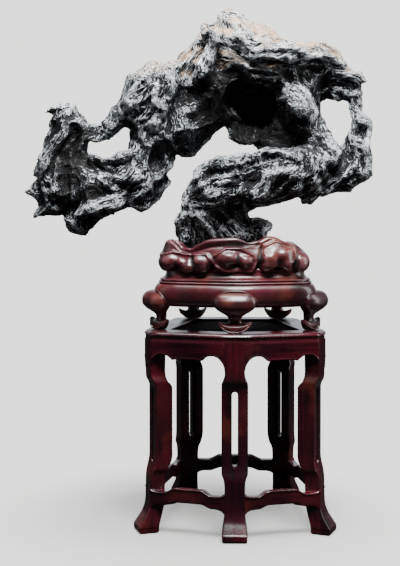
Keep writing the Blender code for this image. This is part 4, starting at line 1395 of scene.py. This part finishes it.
    def relief(self, points: np.ndarray, lip: np.ndarray, turns: np.ndarray) -> np.ndarray:
        """How far the carving stands proud of the block, in mm.

        Args:
            points: (n, m, 3) points of the block.
            lip: (1, m) heights of the lip.
            turns: (1, m) angles from the front.

        Returns:
            (n, m) heights.
        """
        x, z = points[..., 0] / MM, points[..., 2] / MM
        total = 2.0 * bell(z - lip + 3.5, 3.2)
        for sign, weight in ((1.0, np.clip(np.cos(turns) * 4 + 0.8, 0, 1)),
                             (-1.0, np.clip(-np.cos(turns) * 4 + 0.2, 0, 1))):
            for kx, kz, rx, rz, height in self.knobs:
                rho2 = ((x - sign * kx) / rx) ** 2 + ((z - kz) / rz) ** 2
                total += weight * height * np.exp(-rho2 ** 1.4)
            for ribbon in self.ribbons:
                path = np.array(ribbon[2:]).reshape(-1, 2) * np.array([sign, 1.0])
                total += weight * ribbon[0] * bell(distance_to(path, x, z), ribbon[1])
        return total


# ===== the stone ============================================================================================
@dataclass
class Stone:
    """The scholar's rock: the solid's masses, re-skinned fine, with folds that follow a drawn flow.

    The cells' size is in metres, the tables in mm in front view. A stroke is x and z in turn; a row of the
    dents and bosses is x, z, two radii and a depth; of the shades and glows, the same with a tone; of the
    nudges, x, z, a radius and the move.
    """

    finish: StoneFinish = StoneFinish()
    voxel: float = 0.00252
    flow_step: float = 4.0
    flow_corner: tuple[float, float] = (-310.0, 380.0)
    flow_cells: tuple[int, int] = (136, 96)
    strokes: tuple[tuple[float, ...], ...] = (
        (-269, 592, -236, 612, -223, 594), (-259, 588, -255, 566, -270, 540, -291, 520),
        (-206, 581, -229, 581, -248, 551, -268, 542, -289, 515), (-291, 513, -285, 485, -281, 468),
        (-266, 536, -266, 513, -272, 485), (-245, 540, -247, 500, -243, 470),
        (-211, 542, -198, 523, -180, 516, -161, 521, -153, 555), (-215, 524, -198, 510, -164, 502),
        (-213, 513, -187, 489, -164, 481),
        (-232, 437, -224, 456, -198, 469, -168, 479, -153, 498, -143, 513),
        (-255, 443, -242, 437, -223, 419), (-155, 499, -142, 507, -130, 503, -134, 493, -152, 488),
        (-149, 555, -153, 521, -161, 488), (-125, 555, -134, 513, -123, 475),
        (-90, 526, -98, 498, -126, 475, -134, 455), (-175, 458, -155, 462, -134, 453),
        (-210, 559, -191, 570, -172, 589), (-175, 590, -156, 614, -125, 629),
        (-172, 608, -149, 639, -122, 671), (-115, 668, -113, 627, -134, 592, -149, 590),
        (-104, 659, -94, 646, -96, 623, -109, 617), (-140, 579, -116, 590, -104, 577, -118, 563),
        (-87, 650, -90, 627), (-107, 612, -104, 570, -87, 545), (-105, 534, -98, 518),
        (-88, 532, -60, 538, -39, 564), (-29, 731, -29, 692), (-7, 736, 20, 698), (-14, 720, -4, 684),
        (-2, 740, 28, 710, 48, 698), (-31, 727, -53, 712, -61, 684, -83, 670),
        (-29, 690, 4, 677, 28, 663, 59, 668, 94, 674, 159, 672), (28, 694, 81, 697, 125, 684),
        (0, 657, 28, 653, 50, 642, 72, 650), (0, 644, 15, 629, 28, 631),
        (61, 620, 85, 626, 103, 617, 118, 600, 116, 587), (72, 635, 88, 609, 96, 596),
        (85, 661, 98, 639, 109, 620), (142, 650, 168, 655, 195, 633), (142, 642, 168, 626, 193, 631),
        (175, 626, 171, 609),
        (145, 624, 164, 611, 172, 596, 199, 578, 199, 568, 193, 548, 199, 517, 190, 504),
        (172, 596, 168, 563, 153, 539, 146, 521), (180, 561, 180, 523, 164, 508),
        (193, 504, 168, 487, 129, 482, 96, 464), (133, 556, 149, 541, 146, 526),
        (98, 535, 103, 508, 94, 482), (127, 530, 131, 508, 112, 487),
        (-81, 466, -70, 487, -42, 530, 0, 535, 37, 543, 70, 541, 96, 530),
        (-61, 487, -29, 504, 0, 508, 28, 521, 59, 530), (-29, 495, 0, 500, 25, 516),
        (28, 482, 46, 508, 68, 515, 88, 517), (30, 469, 59, 480, 85, 508),
        (28, 466, 48, 462, 72, 478, 92, 487), (-83, 464, -55, 462, 4, 469), (-65, 456, -71, 416),
        (-58, 453, -29, 413), (-51, 453, -4, 416), (11, 466, 17, 442, 46, 436), (48, 438, 42, 412),
        (28, 607, 30, 582, 28, 545), (-12, 595, -7, 558), (59, 585, 77, 563, 98, 558),
        (-78, 650, -65, 652, -68, 640), (-61, 675, -46, 662, -51, 652))
    dents: tuple[tuple[float, float, float, float, float], ...] = (
        (-243, 581, 9, 8, 7), (-250, 514, 16, 32, 8), (-120, 529, 12, 13, 6), (-51, 638, 12, 13, 7),
        (-142, 649, 8, 10, 4), (135, 636, 12, 14, 9), (20, 500, 18, 14, 9), (106, 517, 7, 14, 5),
        (146, 514, 8, 8, 7), (24, 618, 38, 40, 9), (-23, 452, 26, 9, 6), (30, 709, 5, 4, 3),
        (-45, 612, 12, 34, 6), (-113, 640, 3.5, 26, 5), (60, 560, 16, 10, 4), (-205, 480, 16, 8, 3),
        (-176, 505, 12, 5, 3), (40, 655, 40, 8, 6), (-90, 600, 7, 20, 3), (104, 560, 10, 10, 4))
    bosses: tuple[tuple[float, float, float, float, float], ...] = (
        (-151, 616, 22, 18, 5), (-97, 645, 7, 18, 4), (-116, 576, 11, 10, 7), (92, 608, 24, 17, 7),
        (-198, 456, 24, 9, 5), (-283, 516, 8, 22, 4), (-146, 503, 12, 8, 6), (142, 543, 10, 14, 5),
        (-55, 672, 9, 9, 4), (-76, 652, 8, 10, 3), (0, 521, 44, 7, 3), (70, 508, 18, 8, 4),
        (-30, 478, 34, 7, 3), (0, 716, 22, 18, 4), (90, 681, 60, 6, 4))
    shades: tuple[tuple[float, float, float, float, float], ...] = (
        (-24, 606, 24, 44, 0.45), (8, 606, 60, 46, 0.80), (-48, 590, 34, 50, 0.16), (14, 600, 45, 50, 0.30),
        (60, 568, 50, 26, 0.50), (105, 560, 26, 14, 0.30), (66, 610, 14, 24, 0.30), (20, 650, 40, 10, 0.30),
        (-242, 540, 48, 72, 0.62), (-215, 500, 50, 40, 0.16), (-100, 540, 24, 50, 0.16),
        (-36, 606, 20, 46, 0.42), (-258, 585, 18, 13, 0.35), (-254, 519, 20, 30, 0.38),
        (-4, 447, 16, 15, 0.35), (10, 495, 26, 22, 0.40), (-159, 586, 20, 8, 0.30),
        (133, 639, 13, 15, 0.45), (-113, 640, 4, 24, 0.25), (100, 578, 30, 12, 0.25),
        (150, 514, 16, 18, 0.30), (-215, 438, 44, 9, 0.22), (-102, 566, 10, 30, 0.22),
        (-74, 690, 9, 14, 0.2), (60, 560, 40, 12, 0.25), (30, 660, 40, 5, 0.3), (-130, 540, 9, 30, 0.2),
        (-280, 560, 12, 20, 0.1))
    glows: tuple[tuple[float, float, float, float, float], ...] = (
        (2, 714, 36, 30, 0.86), (50, 688, 62, 16, 0.26), (-150, 616, 26, 22, 0.20),
        (-125, 600, 44, 50, 0.20), (94, 608, 26, 18, 0.60), (-78, 600, 16, 40, 0.16),
        (30, 560, 60, 12, -0.2), (143, 543, 10, 14, 0.25), (20, 529, 52, 11, 0.24),
        (-289, 523, 11, 30, 0.44), (-205, 456, 44, 12, 0.34), (-148, 504, 12, 9, 0.25),
        (-120, 577, 9, 12, 0.30), (196, 573, 13, 36, 0.14), (97, 684, 60, 8, 0.22),
        (-45, 706, 12, 24, 0.14), (-112, 666, 20, 12, 0.20), (-250, 610, 22, 12, 0.50),
        (-62, 480, 14, 24, 0.12), (40, 500, 12, 20, 0.14), (-66, 430, 16, 22, 0.22),
        (-30, 424, 22, 14, 0.18), (30, 425, 20, 12, 0.14), (-165, 470, 24, 8, 0.14),
        (-276, 500, 10, 12, 0.12), (118, 600, 8, 12, 0.2))
    nudges: tuple[tuple[float, float, float, float, float], ...] = (
        (154, 596, 26, -4, -3), (154, 622, 14, 0, -3), (190, 601, 16, -5, 0), (192, 637, 10, 4, 0),
        (202, 577, 14, 3, 0), (138, 600, 12, -2, 0), (-184, 553, 24, 6, -2), (-150, 645, 16, -3, 3),
        (-95, 681, 16, 0, -4), (-232, 603, 22, 0, -3), (-40, 722, 24, 7, 0), (12, 744, 12, 3, 2),
        (20, 558, 16, 0, -5), (-6, 571, 12, -4, 0), (-70, 541, 18, 0, -9), (-192, 440, 20, 0, 3),
        (-226, 424, 10, 0, -3), (-72, 508, 22, 1, 0), (-97, 493, 16, 3, 0), (120, 475, 18, 0, -4),
        (82, 468, 16, 0, 4), (36, 452, 14, -14, 0))
    eye_distance: float = 1720.0
    eye_height: float = 469.3
    eye_side: float = 4.6

    def build(self) -> None:
        """Make and dress the stone."""
        item = self.fine_skin()
        points, _, edges = self.arrays(item)
        points = self.taubin(points, edges, 14)
        points = self.nudged(points)
        self.write(item, points)
        _, normals, _ = self.arrays(item)
        flow = self.streak(points, normals, 0.0145, 0.055, 11)
        fine = self.streak(points, normals, 0.0065, 0.040, 29)
        crest, valley = self.crests(points, normals)
        points = points + normals * self.relief(points, normals, flow, fine, crest, valley)[:, None] * MM
        points = self.taubin(points, edges, 1)
        self.write(item, points)
        self.mark(item, flow, fine, crest)
        item.data.shade_smooth()
        dress(item, self.finish.material(), "scholars_rock")

    def front_view(self, points: np.ndarray) -> tuple[np.ndarray, np.ndarray]:
        """Where points appear from the front: moved along the sight line to the axis's own plane, in mm.

        x' = e + (x - e) D / (D + y), with e the eye's place and D its distance, and z' the same.

        Args:
            points: (n, 3) points.

        Returns:
            x' and z'.
        """
        x, y, z = (points[:, 0] - CENTRE[0]) / MM, (points[:, 1] - CENTRE[1]) / MM, points[:, 2] / MM
        nearer = self.eye_distance / (self.eye_distance + y)
        return (self.eye_side + (x - self.eye_side) * nearer,
                self.eye_height + (z - self.eye_height) * nearer)

    def nudged(self, points: np.ndarray) -> np.ndarray:
        """Move whole columns of the stone in front view by the sum of (dx, dz) exp(-(distance / r)^2).

        Args:
            points: (n, 3) points.

        Returns:
            The moved points.
        """
        x, z = self.front_view(points)
        shift = np.zeros_like(points)
        for cx, cz, radius, dx, dz in self.nudges:
            weight = bell(np.hypot(x - cx, z - cz), radius) * MM
            shift[:, 0] += weight * dx
            shift[:, 2] += weight * dz
        return points + shift

    def crests(self, points: np.ndarray, normals: np.ndarray) -> tuple[np.ndarray, np.ndarray]:
        """Sharp ridges exp(-d / 3) on the strokes and shallow valleys exp(-((d - 8) / 4)^2) beside them.

        d is the distance from the nearest stroke in front view, with a small wobble. Both are on faces that
        look to the front alone.

        Args:
            points: (n, 3) points.
            normals: (n, 3) normals.

        Returns:
            Ridges and valleys, each (n,) and 0 to 1.
        """
        x, z = self.front_view(points)
        facing = np.clip(-normals[:, 1] * 1.8 + 0.25, 0, 1)
        nearest = np.full(len(points), np.inf)
        for stroke in self.strokes:
            nearest = np.minimum(nearest, distance_to(np.array(stroke).reshape(-1, 2), x, z))
        wobble = 1.2 * lattice_noise(points, 0.008, 17)
        nearest = np.maximum(nearest + wobble, 0)
        return np.exp(-nearest / 3.0) * facing, bell(nearest - 8.0, 4.0) * facing

    def fine_skin(self) -> bpy.types.Object:
        """A copy of the solid with its loose facets merged, re-meshed in even small cells.

        Returns:
            The new object.
        """
        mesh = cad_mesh("scholars_rock")
        item = bpy.data.objects.new("scholars_rock_dressed", mesh)
        bpy.context.scene.collection.objects.link(item)
        step = item.modifiers.new("cells", "REMESH")
        step.mode, step.voxel_size = "VOXEL", self.voxel
        settle(item)
        return item

    def arrays(self, item: bpy.types.Object) -> tuple[np.ndarray, np.ndarray, np.ndarray]:
        """The piece's mesh as arrays.

        Args:
            item: the piece.

        Returns:
            (n, 3) points, (n, 3) normals and (e, 2) edges.
        """
        mesh = item.data
        points, normals = np.zeros(len(mesh.vertices) * 3), np.zeros(len(mesh.vertices) * 3)
        mesh.vertices.foreach_get("co", points)
        mesh.vertices.foreach_get("normal", normals)
        edges = np.zeros(len(mesh.edges) * 2, np.int64)
        mesh.edges.foreach_get("vertices", edges)
        return points.reshape(-1, 3), normals.reshape(-1, 3), edges.reshape(-1, 2)

    def write(self, item: bpy.types.Object, points: np.ndarray) -> None:
        """Put points back into the piece."""
        item.data.vertices.foreach_set("co", points.ravel())
        item.data.update()

    def taubin(self, points: np.ndarray, edges: np.ndarray, rounds: int) -> np.ndarray:
        """Smooth without shrinking: p += 0.5 (q - p), then p -= 0.53 (q - p), with q the neighbours' mean.

        Args:
            points: (n, 3) points.
            edges: (e, 2) point numbers.
            rounds: how many times both steps are taken.

        Returns:
            The smoothed points.
        """
        for _ in range(rounds):
            for factor in (0.5, -0.53):
                points = points + factor * (neighbour_mean(points, edges) - points)
        return points

    def field(self) -> tuple[np.ndarray, np.ndarray, float, float, float]:
        """The flow's direction on a grid in front view.

        Each stroke's stretch of angle b adds exp(-(d / 15)^2) (cos 2b, sin 2b) at distance d mm, so that a
        direction and its opposite count as one.

        Returns:
            cos 2b and sin 2b on the grid, the grid's lowest x and z, and its step, in metres.
        """
        step, (x0, z0), (columns, rows) = self.flow_step, self.flow_corner, self.flow_cells
        gx, gz = np.meshgrid(x0 + step * np.arange(columns), z0 + step * np.arange(rows), indexing="ij")
        c, s = np.full(gx.shape, 1e-6), np.full(gx.shape, 2e-6)
        for stroke in self.strokes:
            spots = np.array(stroke).reshape(-1, 2)
            for a, b in zip(spots, spots[1:]):
                d = b - a
                t = np.clip(((gx - a[0]) * d[0] + (gz - a[1]) * d[1]) / (d @ d), 0, 1)
                away = np.hypot(gx - a[0] - t * d[0], gz - a[1] - t * d[1])
                weight = bell(away, 15.0) + 1e-4 / (1 + away)
                turn = 2 * math.atan2(d[1], d[0])
                c += weight * math.cos(turn)
                s += weight * math.sin(turn)
        return c, s, x0 * MM, z0 * MM, step * MM

    def streak(self, points: np.ndarray, normals: np.ndarray, cell: float, reach: float,
               seed: int) -> np.ndarray:
        """Noise averaged along the flow, so that it changes fast across it and slowly along it.

        From each point the flow is followed both ways in small steps that keep to the surface's plane, and
        the noise met on the way is averaged and brought to unit spread.

        Args:
            points: (n, 3) points.
            normals: (n, 3) normals.
            cell: size of the noise.
            reach: how far the flow is followed each way.
            seed: changes the noise.

        Returns:
            (n,) values of unit spread.
        """
        c, s, x0, z0, step = self.field()
        stride = cell * 0.3
        total, count = lattice_noise(points, cell, seed), 1
        for way in (1.0, -1.0):
            place = points.copy()
            before = None
            for _ in range(int(reach / stride)):
                i = np.clip(((place[:, 0] - CENTRE[0] - x0) / step).astype(int), 0, c.shape[0] - 1)
                k = np.clip(((place[:, 2] - z0) / step).astype(int), 0, c.shape[1] - 1)
                turn = np.arctan2(s[i, k], c[i, k]) / 2
                way_on = np.stack([np.cos(turn), 0.25 * np.sin(3 * place[:, 2] / 0.05), np.sin(turn)], axis=1)
                way_on -= normals * np.einsum("ij,ij->i", way_on, normals)[:, None]
                way_on /= np.maximum(np.linalg.norm(way_on, axis=1, keepdims=True), 1e-6)
                if before is None:
                    way_on *= way
                else:
                    way_on *= np.where(np.einsum("ij,ij->i", way_on, before) < 0, -1.0, 1.0)[:, None]
                before = way_on
                place = place + way_on * stride
                total = total + lattice_noise(place, cell, seed)
                count += 1
        total = total / count
        return (total - total.mean()) / total.std()

    def relief(self, points: np.ndarray, normals: np.ndarray, flow: np.ndarray, fine: np.ndarray,
               crest: np.ndarray, valley: np.ndarray) -> np.ndarray:
        """How far each point of the stone moves out, in mm.

        1.3 (0.75 - |flow|) makes folds with sharp crests, 0.9 (0.75 - |fine|) lesser ones, 3.2 crest - 1.1
        valley the drawn ridges, and the dents and bosses A exp(-rho^2) shape the front. Warped noise adds
        lumps and pits, five times as strong at the back, where nothing is drawn. All of it fades to 0.15 of
        its depth at the foot.

        Args:
            points: (n, 3) points.
            normals: (n, 3) normals.
            flow: broad streaks.
            fine: fine streaks.
            crest: drawn ridges.
            valley: the ground beside them.

        Returns:
            (n,) distances.
        """
        total = 1.3 * (0.75 - np.minimum(np.abs(flow), 2.0)) + 0.9 * (0.75 - np.minimum(np.abs(fine), 2.0))
        total += 3.2 * crest - 1.1 * valley
        x, z = self.front_view(points)
        facing = np.clip(-normals[:, 1] * 1.6 + 0.1, 0, 1)
        total += facing * (patches(x, z, self.bosses) - patches(x, z, self.dents))
        warp = np.stack([lattice_noise(points, 0.03, seed) for seed in (3, 4, 5)], axis=1) * 0.010
        lumps = lattice_noise(points + warp, 0.023, 7)
        holes = lattice_noise(points + warp * 0.7, 0.013, 9)
        behind = 1 - 0.8 * facing
        total += 2.6 * behind * (0.5 - 1.5 * np.abs(lumps)) - 7.0 * behind * np.clip(holes - 0.42, 0, 1)
        foot = np.clip((points[:, 2] / MM - 392) / 12, 0.15, 1)
        return total * foot

    def mark(self, item: bpy.types.Object, flow: np.ndarray, fine: np.ndarray, crest: np.ndarray) -> None:
        """Store what the material reads: flow, fine_flow, proud (sharp relief), lit (painted light and shade)
        and top.

        proud = 0.5 + 0.5 m, with m = (p - q) . n in mm and q the points' mean over a small neighbourhood;
        lit = 0.32 + 0.07 f + 0.30 n_z + 0.07 M + 0.20 crest + 0.8 f (glows - shades), with f 1 on faces that
        look to the front and M as m over a wide neighbourhood, is painted light and shade; top is 1 on faces
        that look up near the crown, where the painted ochre highlight lies.

        Args:
            item: the stone.
            flow: broad streaks.
            fine: fine streaks.
            crest: drawn ridges.
        """
        points, normals, edges = self.arrays(item)
        small, wide = 4, 50
        blurred, marks = points, {}
        for rounds in range(1, wide + 1):
            blurred = neighbour_mean(blurred, edges)
            if rounds in (small, wide):
                marks[rounds] = np.einsum("ij,ij->i", points - blurred, normals) / MM
        x, z = self.front_view(points)
        facing = np.clip(-normals[:, 1] * 1.6 + 0.4, 0, 1)
        # Painted light and shade: lighter on faces that look up or to the front, on broad swells, on drawn
        # ridges and in the glows, darker in the shades.
        lit = 0.32 + 0.07 * facing + 0.30 * normals[:, 2] + 0.07 * np.clip(marks[wide], -4, 4) + 0.20 * crest
        lit += 0.8 * facing * (patches(x, z, self.glows) - patches(x, z, self.shades))
        store(item, "flow", flow)
        store(item, "fine_flow", fine)
        store(item, "proud", np.clip(0.5 + 0.5 * marks[small], 0, 1))
        store(item, "lit", lit)
        up = np.clip(normals[:, 2] * 2.0 - 0.3, 0, 1)
        store(item, "top", up * np.clip((points[:, 2] / MM - 640) / 60, 0, 1))


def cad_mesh(node: str) -> bpy.types.Mesh:
    """A merged copy of a CAD node's mesh.

    Args:
        node: the node's name.

    Returns:
        The copy.
    """
    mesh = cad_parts[node].data.copy()
    shell = bmesh.new()
    shell.from_mesh(mesh)
    bmesh.ops.remove_doubles(shell, verts=shell.verts, dist=1e-6)
    shell.to_mesh(mesh)
    shell.free()
    return mesh


# ===== floor, light and camera ==============================================================================
@dataclass
class Studio:
    """A pale floor, soft light from both sides and above, and the camera.

    Sizes are in metres, angles in degrees, the lens in mm and the focal length and rows in pixels of a frame
    566 high. A softbox has a name, a place, a size and its watts.
    """

    paper: str = "dadad8"
    paper_light: float = 2.9
    camera_distance: float = 1.720
    camera_height: float = 0.4693
    camera_side: float = 0.0046
    pitch: float = 1.2
    yaw: float = 1.9
    lens: float = 73.3
    focal_pixels: float = 1153.0
    rows_below: float = 82.0
    rows: float = 566.0
    aim_height: float = 0.42
    floor_steps: int = 96
    softboxes: tuple[tuple[str, tuple[float, float, float], tuple[float, float], float], ...] = (
        ("left", (-1.5, -0.15, 0.9), (0.7, 1.5), 2.5), ("right", (1.5, 0.05, 0.9), (0.7, 1.5), 15.0),
        ("above", (0.20, -0.85, 1.8), (0.7, 0.5), 66.0), ("top", (0.0, -0.1, 2.1), (1.3, 0.9), 56.0))

    def build(self) -> None:
        """Make the floor, the lights, the world and the camera."""
        self.floor()
        self.world()
        for name, place, size, watts in self.softboxes:
            self.softbox(name, place, size, watts)
        self.camera()

    def floor(self) -> None:
        """A wide disc that takes a soft shadow near the stand and has the paper's own tone further out."""
        steps = self.floor_steps
        turns = np.arange(steps) * 2 * math.pi / steps
        radii = np.array([0.0, 0.3, 0.7, 1.2, 2.5, 6.0, 14.0])
        rings = np.stack([np.outer(radii, np.cos(turns)), np.outer(radii, np.sin(turns)),
                          np.full((len(radii), steps), -0.0006)], axis=-1)
        index = np.arange(len(radii) * steps).reshape(-1, steps)
        quads = np.stack([index[:-1], index[1:], np.roll(index[1:], -1, 1), np.roll(index[:-1], -1, 1)], -1)
        hub = np.stack([index[1], np.roll(index[1], -1), np.zeros(steps, int)], axis=1)
        item = Skin(rings.reshape(-1, 3), quads.reshape(-1, 4)[steps:], hub).piece("studio_floor")
        made = bpy.data.materials.new("studio_paper")
        made.use_nodes = True
        w = Weaver(made.node_tree)
        shader = made.node_tree.nodes["Principled BSDF"]
        place = w.node("ShaderNodeTexCoord").outputs["Object"]
        distance = w.node("ShaderNodeVectorMath", {"operation": "LENGTH"}, in_0=place).outputs["Value"]
        seen = w.node("ShaderNodeLightPath").outputs["Is Camera Ray"]
        glow = w.math("MULTIPLY", w.ramp(distance, 0.13, 0.38, 0.18, 1.0), seen)
        tone = linear(self.paper)
        w.link(w.mix(w.math("MULTIPLY", seen, 0.74), (0.02, 0.02, 0.02, 1.0), tone), shader, "Base Color")
        shader.inputs["Roughness"].default_value = 0.9
        shader.inputs["Specular IOR Level"].default_value = 0.0
        paper = w.node("ShaderNodeEmission", Color=tone, Strength=self.paper_light)
        mixed = w.node("ShaderNodeMixShader", in_0=glow, in_1=shader.outputs[0], in_2=paper.outputs[0])
        w.link(mixed.outputs[0], made.node_tree.nodes["Material Output"], "Surface")
        item.data.materials.append(made)

    def world(self) -> None:
        """Paper-coloured to the eye; as a light, bright behind the object and dim in front of it."""
        scene = bpy.context.scene
        scene.world = scene.world or bpy.data.worlds.new("studio")
        scene.world.use_nodes = True
        tree = scene.world.node_tree
        tree.nodes.clear()
        w = Weaver(tree)
        toward = w.node("ShaderNodeSeparateXYZ", in_0=w.node("ShaderNodeTexCoord").outputs["Generated"])
        strength = w.ramp(toward.outputs["Y"], 0.72, 0.97, 0.05, 1.1)
        seen = w.node("ShaderNodeBackground", Color=linear(self.paper), Strength=self.paper_light)
        light = w.node("ShaderNodeBackground", Color=(0.80, 0.85, 0.92, 1.0), Strength=strength)
        ray = w.node("ShaderNodeLightPath").outputs["Is Camera Ray"]
        mixed = w.node("ShaderNodeMixShader", in_0=ray, in_1=light.outputs[0], in_2=seen.outputs[0])
        out = w.node("ShaderNodeOutputWorld")
        w.link(mixed.outputs[0], out, "Surface")

    def softbox(self, name: str, place: tuple[float, float, float], size: tuple[float, float],
                watts: float) -> None:
        """An area light that faces the middle of the object.

        Args:
            name: its name.
            place: where it stands.
            size: width and height.
            watts: its power.
        """
        lamp = bpy.data.lights.new(f"softbox_{name}", "AREA")
        lamp.shape, lamp.size, lamp.size_y, lamp.energy = "RECTANGLE", size[0], size[1], watts
        item = bpy.data.objects.new(f"softbox_{name}", lamp)
        item.location = place
        aim = np.array([CENTRE[0], CENTRE[1], self.aim_height]) - np.array(place)
        flat = math.hypot(aim[0], aim[1])
        item.rotation_euler = (math.atan2(flat, -aim[2]), 0.0, math.atan2(-aim[0], aim[1]))
        bpy.context.scene.collection.objects.link(item)

    def camera(self) -> None:
        """The camera, level with the stone's foot, framed by a small upward shift of the picture."""
        lens = bpy.data.cameras.new("studio_camera")
        lens.lens = self.lens
        pitch = math.radians(self.pitch)
        lens.shift_y = -(self.rows_below - self.focal_pixels * math.tan(pitch)) / self.rows
        item = bpy.data.objects.new("studio_camera", lens)
        item.location = (CENTRE[0] + self.camera_side, CENTRE[1] - self.camera_distance, self.camera_height)
        item.rotation_euler = (math.radians(90) - pitch, 0.0, math.radians(self.yaw))
        bpy.context.scene.collection.objects.link(item)
        bpy.context.scene.camera = item


def main() -> None:
    """Build every sub-assembly in order."""
    logging.basicConfig(level=logging.INFO, format="%(message)s")
    rosewood_group()
    wear_and_light_group()
    strata_group()
    Studio().build()
    TallStand().build()
    CarvedSeat().build()
    Stone().build()


if __name__ == "__main__":
    main()
